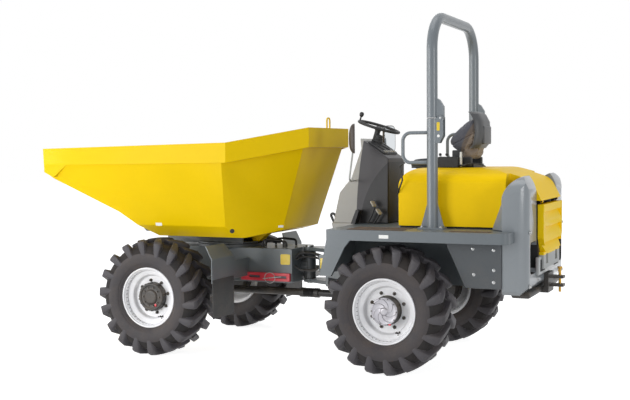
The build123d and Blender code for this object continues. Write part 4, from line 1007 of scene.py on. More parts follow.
def all_smooth(mesh: bpy.types.Mesh, crease: Optional[float] = None) -> None:
    """Shades a mesh smooth, sharp where faces meet at more than crease degrees."""
    mesh.polygons.foreach_set("use_smooth", np.ones(len(mesh.polygons), dtype=bool))
    if crease is not None:
        mesh.set_sharp_from_angle(angle=math.radians(crease))


def linked(name: str, data: bpy.types.ID, finishes: Sequence[Finish] = ()) -> bpy.types.Object:
    """Makes a mesh, camera or light an object of the scene.

    Args:
        name: the object's name.
        data: what it shows.
        finishes: finishes that a mesh takes, by mark.

    Returns:
        The object.
    """
    piece = bpy.data.objects.new(name, data)
    bpy.context.scene.collection.objects.link(piece)
    for finish in finishes:
        data.materials.append(finish.material())
    return piece


def repaint(mesh: bpy.types.Mesh, finish: Finish) -> None:
    """Gives a mesh one finish in place of those that it has."""
    mesh.materials.clear()
    mesh.materials.append(finish.material())


def dress(nodes: dict[str, Finish]) -> None:
    """Gives CAD nodes their finishes.

    Args:
        nodes: finish by node name.
    """
    for name, finish in nodes.items():
        repaint(FRAME["nodes"][name].data, finish)
        LOG.info("%s: %s", name, finish.name)


def middle(node: str) -> Points:
    """Centre of a CAD node's box."""
    low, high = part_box(node)
    return (np.array(low) + np.array(high)) / 2


# -------------------------------------------------------------------------- wheels
@dataclass
class Tyre:
    """A lugged traction tyre, its two rows of lugs staggered by half a pitch."""

    place: str
    body: Body
    pitches: int = 18
    turns: int = 144
    shoulder: float = 0.405
    over_lugs: float = 0.5375
    carcass: tuple[tuple[float, float], ...] = (
        # out from the middle plane, radius
        (0.142, 0.254), (0.153, 0.272), (0.156, 0.2795), (0.163, 0.2825),
        (0.1675, 0.2925), (0.1765, 0.2985), (0.1815, 0.3105), (0.1885, 0.3165),
        (0.1945, 0.335), (0.1985, 0.36), (0.1996, 0.38), (0.196, 0.405), (0.184, 0.44),
        (0.162, 0.472), (0.13, 0.488), (0.095, 0.493), (0.0, 0.495),
    )
    crown: tuple[tuple[float, float], ...] = (
        # top of a lug: out from the middle plane, radius
        (-0.007, 0.5355), (0.04, 0.5372), (0.11, 0.5366), (0.17, 0.5325),
        (0.1935, 0.5145), (0.1996, 0.48), (0.1998, 0.44), (0.1985, 0.395),
    )
    root: tuple[tuple[float, float], ...] = (
        # foot of the lug, sunk into the carcass
        (-0.007, 0.487), (0.04, 0.487), (0.092, 0.485), (0.128, 0.48), (0.155, 0.462),
        (0.172, 0.44), (0.182, 0.415), (0.189, 0.388),
    )
    edges: tuple[tuple[float, float], ...] = (
        # trailing and leading edge of the lug's top, along the tread
        (-0.096, -0.046), (-0.072, -0.014), (-0.036, 0.036), (-0.008, 0.072),
        (0.002, 0.08), (0.012, 0.084), (0.026, 0.086), (0.044, 0.084),
    )

    def lugs(self, centre: Points) -> Points:
        """Both rows of lugs as one array of closed surfaces.

        A lug is a section carried from the middle of the tread over the shoulder. At row u
        the section runs from the trailing foot up over the top to the leading foot: a point
        at height share f lies between the root and the crown curves, and at angle edge
        divided by the tyre's radius. The feet stand out by the draft of the mould.

        Args:
            centre: the wheel's centre.

        Returns:
            Points of shape (2, pitches, rows, columns, 3).
        """
        u = np.linspace(0, 1, 15)
        knots = np.linspace(0, 1, len(self.crown))
        crown, root, edges = (
            np.stack([np.interp(u, knots, np.asarray(table)[:, k]) for k in (0, 1)], -1)
            for table in (self.crown, self.root, self.edges)
        )
        share = np.array((0.0, 0.5, 0.9, 1.0, 1.0, 1.0, 0.9, 0.5, 0.0))
        blend = np.array((0.0, 0.0, 0.0, 0.07, 0.5, 0.93, 1.0, 1.0, 1.0))
        draft = np.array((-0.011, -0.005, -0.001, 0.0, 0.0, 0.0, 0.001, 0.005, 0.011))
        along = edges[:, :1] + blend * (edges[:, 1:] - edges[:, :1]) + draft
        out = root[:, :1] + share * (crown[:, :1] - root[:, :1])
        reach = root[:, 1:] + share * (crown[:, 1:] - root[:, 1:])
        along, out, reach = (np.pad(item, ((1, 1), (0, 0)), mode="edge") for item in (along, out, reach))
        for item in (along, out, reach):
            item[[0, -1]] = item[[0, -1]].mean(1, keepdims=True)
        pitch = 2 * math.pi / self.pitches
        turn = np.arange(self.pitches) * pitch + np.array((0.0, pitch / 2))[:, None]
        angle = turn[..., None, None] + along / self.over_lugs
        side = np.array((1.0, -1.0))[:, None, None, None]
        x = reach * np.cos(angle)
        z = reach * np.sin(angle)
        return centre + np.stack((x, np.broadcast_to(side * out, x.shape), z), -1)

    def build(self) -> None:
        """Makes the tyre: a revolved carcass, with its lugs standing on it."""
        centre = middle(f"tyre_{self.place}")
        half = resampled(self.carcass, 0.006, 3, closed=False)
        shoulder = int(np.argmax(half[:, 1] > self.shoulder))
        tread = np.concatenate((half[shoulder:], half[-2 : shoulder - 1 : -1] * (-1, 1)))
        shape = Mesher(f"tyre_{self.place}_dressed")
        for wall in (half[: shoulder + 1], half[shoulder::-1] * (-1, 1)):
            shape.grid(revolved(wall, centre, (0, 1, 0), self.turns))
        bead = half[:1] * np.array(((1, 1), (-1, 1)))
        shape.grid(revolved(bead, centre, (0, 1, 0), self.turns))
        # the carcass between the lugs takes the near-black painted shade
        shape.grid(revolved(tread, centre, (0, 1, 0), self.turns), mark=1)
        shape.grid(self.lugs(centre), mark=2)
        shape.make(self.body, (Paint.RUBBER, Paint.TREAD_SHADE, Paint.LUGS), (f"tyre_{self.place}",), crease=42.0)


@dataclass
class Rim:
    """A stepped dish rim with its disc, nuts, valve and hub end."""

    place: str
    body: Body
    side: int
    driven: bool
    nuts: int = 8
    nut_circle: float = 0.1525
    seat: float = 0.055
    back: float = -0.076
    fastener: tuple[tuple[tuple[tuple[float, float], ...], int], ...] = (
        # washer, nut and stud: (out, radius) corners, sides
        (((-0.001, 0.0155), (0.004, 0.0155), (0.006, 0.0135), (0.006, 0.0125)), 24),
        (((0.004, 0.0118), (0.0165, 0.0118), (0.019, 0.0095), (0.019, 0.0)), 6),
        (((0.018, 0.0062), (0.0255, 0.0062), (0.027, 0.0045), (0.027, 0.0)), 10),
    )
    dish: tuple[tuple[float, float], ...] = (
        # out from the middle plane, radius
        (0.055, 0.19), (0.059, 0.1955), (0.082, 0.2005), (0.092, 0.204),
        (0.097, 0.2105), (0.11, 0.237), (0.113, 0.243), (0.105, 0.2475),
        (0.105, 0.2525), (0.118, 0.2565), (0.145, 0.2595), (0.155, 0.2625),
        (0.1635, 0.2665), (0.165, 0.271), (0.165, 0.2755), (0.162, 0.279),
        (0.153, 0.279), (0.145, 0.254), (-0.145, 0.254), (-0.153, 0.279),
        (-0.165, 0.279), (-0.165, 0.262), (-0.15, 0.246), (-0.12, 0.238), (0.0, 0.226),
        (0.03, 0.212), (0.041, 0.19), (0.041, 0.1),
    )

    def lay(self, points: Points, centre: Points) -> Points:
        """Moves points given as (across, up, out) to the wheel's centre and side."""
        return placed(points, centre, (self.side, 0, 0), (0, 0, 1), (0, self.side, 0))

    def turned(self, points: Points, count: int, radius: float, start: float = 0.0) -> Points:
        """Copies of a small shape, given as (across, up, out), round a circle.

        Args:
            points: the shape about its own middle.
            count: how many copies.
            radius: radius of the circle.
            start: angle of the first, in radians.

        Returns:
            Points with a leading axis for the copies.
        """
        angle = start + np.arange(count) * 2 * math.pi / count
        across, up = np.cos(angle), np.sin(angle)
        lead = (slice(None),) + (None,) * (points.ndim - 1)
        x = (radius + points[..., 0]) * across[lead] - points[..., 1] * up[lead]
        y = (radius + points[..., 0]) * up[lead] + points[..., 1] * across[lead]
        return np.stack((x, y, np.broadcast_to(points[..., 2], x.shape)), -1)

    def build(self) -> None:
        """Makes the rim with its hub end and fasteners."""
        centre = middle(f"tyre_{self.place}")
        shape = Mesher(f"rim_{self.place}_dressed")
        profile = np.concatenate((np.array(((self.seat, 0.1),)), np.array(self.dish)))
        fine = resampled(profile, 0.0035, 3, closed=False)
        shape.grid(revolved(fine * (self.side, 1), centre, (0, 1, 0), 96))
        first = math.radians(22.5 if self.driven else 33.0)
        for profile, sides in self.fastener:
            part = revolved(profile, (0, 0, self.seat), UP, sides)
            shape.grid(self.lay(self.turned(part, self.nuts, self.nut_circle, first), centre), mark=1)
        self.valve(shape, centre)
        (self.vaned_cover if self.driven else self.black_drum)(shape, centre)
        finishes = (Paint.SILVER, Paint.DARK_ZINC, Paint.PLASTIC, Paint.CAST, Paint.BLACK, Paint.RED)
        shape.make(self.body, finishes, (f"rim_{self.place}",), crease=38.0)

    def valve(self, shape: Mesher, centre: Points) -> None:
        """Adds the valve stem and its clamp low on the rim's inner barrel.

        Args:
            shape: the piece it is added to.
            centre: the wheel's centre.
        """
        angle = math.radians(-120.0)
        base = np.array((0.212 * math.cos(angle), 0.212 * math.sin(angle), 0.094))
        lean = np.array((-0.25 * math.cos(angle), -0.25 * math.sin(angle), 1.0))
        t = np.linspace(0, 1, 6)[:, None]
        tube = swept(base + t * 0.05 * lean, ring_section(0.0062, 10), up=(1.0, 0.3, 0.0))
        shape.grid(self.lay(tube, centre), mark=2)
        lobes = self.turned(soft_box((0, 0, 0.0), (0.014, 0.018, 0.01), 0.004, 3), 3, 0.015, 0.4)
        shape.grid(self.lay(lobes + base + (0, 0, 0.006), centre), mark=1)

    def drum(self, shape: Mesher, centre: Points, profile: Sequence[Sequence[float]], mark: int) -> None:
        """Adds a turned part of the hub, given as (out, radius) corners.

        Args:
            shape: the piece it is added to.
            centre: the wheel's centre.
            profile: its corners.
            mark: which of the piece's finishes it takes.
        """
        line = resampled(profile, 0.002, 3, closed=False)
        shape.grid(revolved(line * (self.side, 1), centre, (0, 1, 0), 72), mark=mark)

    def black_drum(self, shape: Mesher, centre: Points) -> None:
        """Adds the steered hub: a black drum with ribs, a cap, bolts and a small red tag.

        Args:
            shape: the piece it is added to.
            centre: the wheel's centre.
        """
        drum = (
            (self.back, 0.0), (self.back, 0.118), (0.05, 0.118), (0.052, 0.134), (0.074, 0.134), (0.08, 0.129)
        )
        face = ((0.112, 0.129), (0.118, 0.124), (0.118, 0.107), (0.11, 0.103), (0.11, 0.07), (0.118, 0.066))
        cap = ((0.125, 0.058), (0.1265, 0.046), (0.1265, 0.0))
        self.drum(shape, centre, drum + face + cap, 4)
        bolt = revolved(
            ((-0.002, 0.0085), (0.0055, 0.0085), (0.007, 0.007), (0.007, 0.0)), (0, 0, 0.112), UP, 6
        )
        shape.grid(self.lay(self.turned(bolt, 10, 0.0865), centre), mark=1)
        rib = soft_box((0, 0, 0.086), (0.016, 0.012, 0.05), 0.003, 3)
        shape.grid(self.lay(self.turned(rib, 12, 0.127), centre), mark=4)
        tag = soft_box((-0.052, -0.073, 0.1165), (0.018, 0.024, 0.006), 0.0025, 3)
        shape.grid(self.lay(tag, centre), mark=5)

    def vaned_cover(self, shape: Mesher, centre: Points) -> None:
        """Adds the driven hub: a dark drum and a cast cover with curved vanes.

        A vane is a low bar whose middle line is the spiral radius r, angle a + k times
        (r - r0), carried from the boss to the rim of the cover.

        Args:
            shape: the piece it is added to.
            centre: the wheel's centre.
        """
        drum = (
            (self.back, 0.0), (self.back, 0.118), (0.05, 0.118), (0.052, 0.124), (0.07, 0.124), (0.074, 0.119)
        )
        self.drum(shape, centre, drum + ((0.142, 0.119), (0.145, 0.116), (0.145, 0.1)), 4)
        cover = (
            (0.144, 0.117),
            (0.1505, 0.1165),
            (0.154, 0.113),
            (0.154, 0.1065),
            (0.1495, 0.1035),
            (0.149, 0.036),
            (0.1555, 0.031),
        )
        self.drum(shape, centre, cover + ((0.16, 0.027), (0.161, 0.02), (0.1613, 0.0)), 3)
        reach = np.linspace(0.029, 0.105, 12)
        vanes = 7
        turn = np.arange(vanes)[:, None] * 2 * math.pi / vanes - 17.0 * (reach - reach[0]) * self.side
        line = np.stack((reach * np.cos(turn), reach * np.sin(turn), np.full(turn.shape, 0.1505)), -1)
        section = resampled(
            ((-0.0026, -0.003), (0.0026, -0.003), (0.0017, 0.0046), (-0.0017, 0.0046)), 0.001, 3
        )
        for path in line:
            shape.grid(self.lay(swept(path, section), centre), mark=3)
        bolt = revolved(
            ((-0.001, 0.006), (0.0045, 0.006), (0.006, 0.005), (0.006, 0.0)), (0, 0, 0.154), UP, 6
        )
        shape.grid(self.lay(self.turned(bolt, 10, 0.1098), centre), mark=1)
        tag = soft_box((-0.05, -0.106, 0.151), (0.022, 0.014, 0.007), 0.002, 3)
        shape.grid(self.lay(tag, centre), mark=5)


# --------------------------------------------------------------------- operator's place
@dataclass
class Seat:
    """The operator's seat: padded cushion and back, shell, bracket and levers."""

    half: float = 0.235
    grow: float = 0.022
    frames: int = 20
    pressure: float = 4.0
    voxel: float = 0.0065
    depth: float = 0.055
    hollow_half: float = 0.15
    seam: float = 0.006
    cushion: tuple[tuple[float, float], ...] = (
        # side profile: x, z
        (-1.06, 1.712), (-1.058, 1.745), (-1.09, 1.768), (-1.25, 1.78), (-1.47, 1.786),
        (-1.5, 1.758), (-1.2, 1.752), (-1.115, 1.726),
    )
    back: tuple[tuple[float, float], ...] = (
        # side profile: x, z
        (-1.54, 1.775), (-1.555, 1.83), (-1.46, 1.88), (-1.422, 1.935), (-1.445, 1.99),
        (-1.51, 2.055), (-1.59, 2.12), (-1.66, 2.165), (-1.7, 2.15), (-1.72, 2.04),
        (-1.695, 1.94), (-1.655, 1.87), (-1.64, 1.775),
    )
    rear_line: tuple[tuple[float, float], ...] = (
        # the shell's line behind the back, from its foot
        (-1.693, 1.885), (-1.723, 1.92), (-1.738, 2.02), (-1.731, 2.12),
        (-1.698, 2.185), (-1.663, 2.205),
    )

    def pad(
        self, name: str, profile: Sequence[Sequence[float]], half: float, crown: float, waist: float
    ) -> bpy.types.Object:
        """Makes a padded form from its side profile.

        Column y of the surface is the profile drawn in towards its middle by
        crown * (y / half)^4, so that the pad is full in the middle and rounds off at its
        sides, which also pull in by waist half way up.

        Args:
            name: the piece's name.
            profile: closed loop of (x, z) corners.
            half: half of the pad's width.
            crown: share of the profile lost at the sides.
            waist: how far the sides pull in.

        Returns:
            The unfinished object.
        """
        loop = resampled(profile, 0.05, 8)
        centre = loop.mean(0)
        s = np.sin(np.linspace(-math.pi / 2, math.pi / 2, 33))
        share = 1 - crown * s**4 - (1 - crown) * np.abs(s) ** 40
        x = centre[0] + share[:, None] * (loop[:, 0] - centre[0])
        z = centre[1] + share[:, None] * (loop[:, 1] - centre[1])
        y = np.broadcast_to(s[:, None] * half, x.shape) * (
            1 - waist * np.cos(np.linspace(0, 4 * math.pi, x.shape[1])) ** 2
        )
        mesh = Mesher(name).grid(np.stack((x, y, z), -1))
        return mesh.make(Body.HOOD, (Paint.FABRIC,), crease=60.0)

    def puff(self, piece: bpy.types.Object) -> None:
        """Swells a pad by cloth simulation and applies it, each point moving at most by grow.

        Args:
            piece: the pad.
        """
        scene = bpy.context.scene
        remesh = piece.modifiers.new("remesh", "REMESH")
        remesh.mode, remesh.voxel_size = "VOXEL", self.voxel
        self.apply(piece)
        start = read(piece.data)
        cloth = piece.modifiers.new("cloth", "CLOTH")
        cloth.settings.use_pressure = True
        cloth.settings.uniform_pressure_force = self.pressure
        cloth.settings.effector_weights.gravity = 0.0
        cloth.settings.quality = 5
        for frame in range(1, self.frames + 1):
            scene.frame_set(frame)
        self.apply(piece)
        scene.frame_set(1)
        move = read(piece.data) - start
        length = np.linalg.norm(move, axis=1, keepdims=True)
        write(piece.data, start + move * np.minimum(1.0, self.grow / np.maximum(length, 1e-9)))
        smooth = piece.modifiers.new("smooth", "SUBSURF")
        smooth.levels = smooth.render_levels = 1
        self.apply(piece)
        all_smooth(piece.data)

    @staticmethod
    def apply(piece: bpy.types.Object) -> None:
        """Applies all of a piece's modifiers by taking its evaluated mesh.

        Args:
            piece: the object.
        """
        graph = bpy.context.evaluated_depsgraph_get()
        made = bpy.data.meshes.new_from_object(piece.evaluated_get(graph), depsgraph=graph)
        piece.modifiers.clear()
        old, piece.data = piece.data, made
        made.name = old.name

    def channel(self, piece: bpy.types.Object, lines: Sequence[Sequence[float]]) -> None:
        """Presses sewn channels into a pad.

        Each point sinks along its normal by seam * exp(-(distance / seam)^2), with its
        distance to the nearest plane of a channel.

        Args:
            piece: the pad.
            lines: rows of (x, y, z, normal x, y, z) that give the channels' planes.
        """
        lines = np.array(lines, float)
        co, normal = read(piece.data), read(piece.data, "normal")
        away = np.abs(((co[:, None] - lines[None, :, :3]) * lines[None, :, 3:]).sum(-1)).min(1)
        sink = self.seam * np.exp(-((away / self.seam) ** 2))
        write(piece.data, co - normal * sink[:, None])

    def build(self) -> None:
        """Makes the cushion, back, shell, bracket and levers."""
        cushion = self.pad("seat_cushion_pad", self.cushion, self.half - 0.018, 0.22, 0.015)
        self.puff(cushion)
        seams = [(0, y, 0, 0, 1, 0) for y in (-0.135, 0.135)] + [(-1.3, 0, 0, 1, 0, 0)]
        self.channel(cushion, seams)
        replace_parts(cushion, "seat_cushion")
        back = self.pad("seat_back_pad", self.back, self.half - 0.05, 0.16, 0.0)
        self.hollow(back)
        self.puff(back)
        seams = [(0, y, 0, 0, 1, 0) for y in (-0.09, 0.09)] + [(-1.6, 0, 1.98, 0.45, 0, 0.9)]
        self.channel(back, seams)
        repaint(back.data, Paint.SEAT_BACK)
        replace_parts(back, "seat_back")
        self.shell()
        self.frame()
        dress({"seat_base": Paint.PLASTIC})
        self.levers()

    def hollow(self, piece: bpy.types.Object) -> None:
        """Sinks the middle of the back's front between its bolsters.

        A point moves back by depth * (1 - (y / hollow_half)^4), in the measure that it faces
        forward.

        Args:
            piece: the pad, before it is puffed.
        """
        co, normal = read(piece.data), read(piece.data, "normal")
        share = np.clip(1 - np.abs(co[:, 1] / self.hollow_half) ** 4, 0.0, 1.0)
        co[:, 0] -= self.depth * share * np.clip(normal[:, 0] * 1.6, 0.0, 1.0)
        write(piece.data, co)

    def shell(self) -> None:
        """Makes the hard shell behind the back.

        Row t follows the back's rear line, and across it the shell wraps forward by the
        sixth power of the width share.
        """
        shape = Mesher("seat_shell")
        t = np.linspace(0, 1, 11)
        line = np.asarray(self.rear_line)
        knots = np.linspace(0, 1, len(line))
        x, z = (np.interp(t, knots, line[:, k])[:, None] for k in (0, 1))
        across = np.sin(np.linspace(-math.pi / 2, math.pi / 2, 17))
        wide = (self.half - 0.045) * (1 - 0.22 * np.maximum(t - 0.7, 0)[:, None] ** 1.5 * 6)
        outer = np.stack((x + 0.05 * across**6, across * wide, z + 0 * across), -1)
        inner = outer + (0.012, 0, 0)
        loop = np.concatenate((outer, inner[:, ::-1]), 1)
        ends = loop.mean(1, keepdims=True) + 0 * loop
        shape.grid(np.concatenate((ends[:1], loop, ends[-1:])))
        shape.grid(soft_box((-1.728, 0, 2.0), (0.03, 0.24, 0.16), 0.012))
        shape.make(Body.HOOD, (Paint.SEAT_SHELL,))

    def frame(self) -> None:
        """Makes the black bracket between cushion and back, the belt box and a bent handle."""
        shape = Mesher("seat_frame")
        for side in (-1, 1):
            shape.grid(soft_box((-1.56, side * 0.17, 1.765), (0.17, 0.05, 0.085), 0.012))
        shape.grid(soft_box((-1.535, self.half + 0.03, 1.8), (0.07, 0.05, 0.14), 0.01))
        shape.grid(soft_box((-1.575, self.half + 0.036, 1.79), (0.012, 0.045, 0.13), 0.004, 3), mark=1)
        bend = ((-1.6, 0.3, 1.742), (-1.68, 0.3, 1.756), (-1.75, 0.295, 1.75), (-1.795, 0.28, 1.728))
        shape.grid(swept(resampled(bend, 0.03, 5, closed=False), ring_section(0.0055, 10), up=(0, 1, 0)))
        rail = ((-1.62, 0.3, 1.737), (-1.36, 0.3, 1.737))
        shape.grid(swept(np.array(rail), ring_section(0.008, 10), up=(0, 1, 0)))
        shape.grid(soft_box((-1.2, 0.0, 1.7215), (0.22, 0.36, 0.018), 0.006))
        shape.make(Body.HOOD, (Paint.PLASTIC, Paint.LABEL))

    def levers(self) -> None:
        """Makes the dress of the control box: short levers with knobs and a raised lid."""
        shape = Mesher("seat_levers")
        _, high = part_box("seat_base")
        base = np.array((-1.46, self.half + 0.055, high[2] - 0.004))
        for dx, dy, lean in ((0.06, -0.01, 0.35), (0.0, 0.014, 0.1)):
            t = np.linspace(0, 1, 6)[:, None]
            rod = base + (dx, dy, 0) + t * 0.026 * np.array((lean, 0.0, 1.0))
            shape.grid(swept(rod, ring_section(0.005, 8), up=(0, 1, 0)), mark=1)
            knob = ((-0.012, 0.004), (-0.01, 0.01), (0.0, 0.0135), (0.01, 0.0105), (0.0145, 0.0))
            shape.grid(revolved(knob, rod[-1], (lean, 0, 1), 16))
        shape.grid(soft_box(base, (0.15, 0.07, 0.016), 0.006, 3))
        shape.make(Body.HOOD, (Paint.PLASTIC, Paint.STEEL))


@dataclass
class Station:
    """Console, steering wheel, pedals and mirrors."""

    tilt: float = math.radians(17.7)
    grip_radius: float = 0.19
    toe: float = math.radians(22.0)

    def build(self) -> None:
        """Makes the steering wheel and mirrors, and dresses the console's nodes."""
        dress({"console": Paint.CONSOLE, "steering_column": Paint.PLASTIC, "pedals": Paint.PLASTIC})
        dress({"grab_rails": Paint.TUBE})
        self.steering_wheel()
        self.mirror(1)
        self.mirror(-1)

    def steering_wheel(self) -> None:
        """Makes the wheel: its grip, three spokes, boss and knob."""
        axis = np.array((-math.sin(self.tilt), 0.0, math.cos(self.tilt)))
        first = np.array((math.cos(self.tilt), 0.0, math.sin(self.tilt)))
        second = np.cross(axis, first)
        centre = np.array((-0.715, 0.0, 2.089))
        turn = np.linspace(0, 2 * math.pi, 72, endpoint=False)[:, None]
        ring = centre + self.grip_radius * (np.cos(turn) * first + np.sin(turn) * second)
        shape = Mesher("steering_wheel_dressed")
        shape.grid(swept(ring, ring_section(0.0135, 14), up=axis, closed=True), ring=True)
        boss = ((-0.044, 0.0), (-0.044, 0.026), (-0.02, 0.033), (-0.004, 0.03), (0.002, 0.022), (0.003, 0.0))
        shape.grid(revolved(resampled(boss, 0.003, 3, closed=False), centre, axis, 32))
        for degrees in (30, 150, 270):
            angle = math.radians(degrees)
            ray = math.cos(angle) * first + math.sin(angle) * second
            t = np.linspace(0, 1, 8)[:, None]
            line = centre + ray * (0.02 + t * (self.grip_radius - 0.02)) - axis * 0.014 * (1 - t**2)
            section = resampled(
                ((-0.013, -0.0035), (0.013, -0.0035), (0.013, 0.0035), (-0.013, 0.0035)), 0.003, 3
            )
            shape.grid(swept(line, section, up=axis))
        angle = math.radians(8)
        seat = centre + self.grip_radius * (math.cos(angle) * first + math.sin(angle) * second)
        stem = (
            (0.008, 0.008),
            (0.04, 0.007),
            (0.046, 0.015),
            (0.056, 0.02),
            (0.072, 0.0205),
            (0.084, 0.015),
            (0.088, 0.0),
        )
        shape.grid(revolved(resampled(stem, 0.003, 3, closed=False), seat, axis, 24))
        shape.make(Body.STEER, (Paint.PLASTIC,), ("steering_wheel",))

    def mirror(self, side: int) -> None:
        """Makes one mirror: a domed shell, its glass and its bent arm.

        The shell's rows go from its rim back to its middle; row k has the outline scaled by
        (cos k)^0.75 and pushed forward by depth * sin k.

        Args:
            side: 1 for the left one, -1 for the right.
        """
        shape = Mesher("mirror_left" if side > 0 else "mirror_right")
        outline = rounded_rect(0.163, 0.263, 0.05, 6)
        k = np.linspace(0, math.pi / 2, 7)[:, None, None]
        flat = np.cos(k) ** 0.75 * outline
        bulge = np.concatenate((flat, 0.046 * np.sin(k) + 0 * flat[..., :1]), -1)
        centre = (-0.65, side * 0.455, 1.98)
        ahead = (math.cos(self.toe), side * math.sin(self.toe), 0.0)
        beside = (math.sin(self.toe), -side * math.cos(self.toe), 0.0)
        frame = (centre, beside, (0, 0, 1), ahead)
        shape.grid(placed(bulge, *frame))
        shape.grid(placed(plate(outline, -0.007, 0.001, 0.003), *frame))
        glass = plate(rounded_rect(0.147, 0.247, 0.044, 6), -0.0078, -0.0065, 0.0004)
        shape.grid(placed(glass, *frame), mark=1)
        corners = (
            (-0.565, side * 0.205, 1.6),
            (-0.6, side * 0.455, 1.6),
            (-0.635, side * 0.455, 1.845),
            (-0.64, side * 0.455, 1.875),
        )
        path = resampled(corners, 0.06, 8, closed=False)
        shape.grid(swept(path, ring_section(0.0075, 10), up=(1, 0, 0.1)), mark=2)
        made = shape.make(Body.REAR, (Paint.SHELL, Paint.MIRROR, Paint.PALE))
        if side > 0:
            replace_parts(made, "mirrors")


# -------------------------------------------------------------------------- bodywork
@dataclass
class Bodywork:
    """The painted and cast nodes, the plated ones as copies with rounded edges."""

    finishes: tuple[tuple[str, str], ...] = (
        # finish, CAD nodes
        ("SKIP", "skip lifting_eye"),
        ("YELLOW", "hood"),
        ("GRILLE", "grille"),
        ("CASTING", "counterweight"),
        ("LENS", "tail_lamps"),
        ("SLATE", "deck rear_frame front_frame mudguards"),
        ("DARK_SLATE", "side_boxes turntable_ring swivel_frame pivot_block"),
        ("PLASTIC", "mud_flaps"),
        ("RED", "lock_bar"),
        ("STEEL", "tip_pins tip_rod steer_rod chassis_pins"),
        ("BLACK", "radiator engine tip_barrel steer_barrel front_axle rear_axle"),
        ("BLACK", "front_driveshaft rear_driveshaft tow_hitch"),
        ("GOLD", "hitch_pin"),
        ("TUBE", "roll_posts roll_hoop"),
    )
    rounded: tuple[tuple[str, Body, str, float, int, float], ...] = (
        # node, body, finish, width of the rounding, steps, crease
        ("counterweight", Body.REAR, "CASTING", 0.05, 5, 80.0),
        ("hood", Body.HOOD, "YELLOW", 0.003, 2, 30.0),
        ("console", Body.REAR, "CONSOLE", 0.022, 4, 30.0),
        ("side_boxes", Body.REAR, "DARK_SLATE", 0.006, 2, 30.0),
        ("deck", Body.REAR, "SLATE", 0.005, 2, 30.0),
        ("rear_frame", Body.REAR, "SLATE", 0.004, 2, 30.0),
        ("front_frame", Body.FRONT, "SLATE", 0.004, 2, 30.0),
        ("mudguards", Body.FRONT, "SLATE", 0.003, 2, 30.0),
        ("swivel_frame", Body.SWIVEL, "DARK_SLATE", 0.003, 2, 30.0),
        ("skip", Body.SKIP, "SKIP", 0.004, 2, 30.0),
        ("grille", Body.REAR, "GRILLE", 0.003, 2, 30.0),
        ("lock_bar", Body.FRONT, "RED", 0.003, 2, 30.0),
        ("tow_hitch", Body.REAR, "BLACK", 0.003, 2, 30.0),
        ("pivot_block", Body.PIVOT, "DARK_SLATE", 0.004, 2, 30.0),
    )

    def build(self) -> None:
        """Gives each node its paint, and rounds the edges of the plated ones."""
        for finish, nodes in self.finishes:
            dress(dict.fromkeys(nodes.split(), getattr(Paint, finish)))
        for node, body, finish, width, steps, crease in self.rounded:
            soften(node, body, getattr(Paint, finish), width, steps, crease)


def soften(node: str, body: Body, finish: Finish, width: float, segments: int, crease: float) -> None:
    """Puts a merged copy with rounded edges in place of a CAD node.

    Args:
        node: the CAD node.
        body: its body.
        finish: its finish.
        width: width of the rounding, in metres.
        segments: steps across the rounding.
        crease: faces that meet at more than this angle, in degrees, keep a sharp edge.
    """
    shape = bmesh.new()
    shape.from_mesh(FRAME["nodes"][node].data)
    bmesh.ops.remove_doubles(shape, verts=shape.verts, dist=1e-5)
    bmesh.ops.dissolve_limit(shape, angle_limit=math.radians(0.6), verts=shape.verts, edges=shape.edges)
    mesh = bpy.data.meshes.new(f"{node}_softened")
    shape.to_mesh(mesh)
    shape.free()
    all_smooth(mesh, crease)
    repaint(mesh, finish)
    piece = linked(f"{node}_softened", mesh)
    rounding = piece.modifiers.new("rounding", "BEVEL")
    rounding.width, rounding.segments, rounding.limit_method = width, segments, "ANGLE"
    rounding.angle_limit, rounding.use_clamp_overlap = math.radians(28), True
    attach(piece, body.value)
    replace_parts(piece, node)
    LOG.info("%s: %d faces, edges rounded by %.1f mm", node, len(mesh.polygons), 1000 * width)


@functools.cache
def surface(node: str) -> BVHTree:
    """The faces of a CAD node, ready for lines to be cast at them."""
    mesh = FRAME["nodes"][node].data
    return BVHTree.FromPolygons(read(mesh).tolist(), [tuple(face.vertices) for face in mesh.polygons])


def landed(node: str, start: Sequence[float], towards: Sequence[float]) -> tuple[Points, Points]:
    """Point and outward normal where a straight line first meets a CAD node.

    Args:
        node: the node.
        start: where the line starts.
        towards: its direction.

    Returns:
        The point and the face's normal.
    """
    place, normal, _, _ = surface(node).ray_cast(tuple(start), tuple(towards))
    if place is None:
        raise ValueError(f"nothing of {node} lies towards {towards} from {start}")
    normal = np.array(normal)
    return np.array(place), normal if normal @ np.asarray(towards) < 0 else -normal


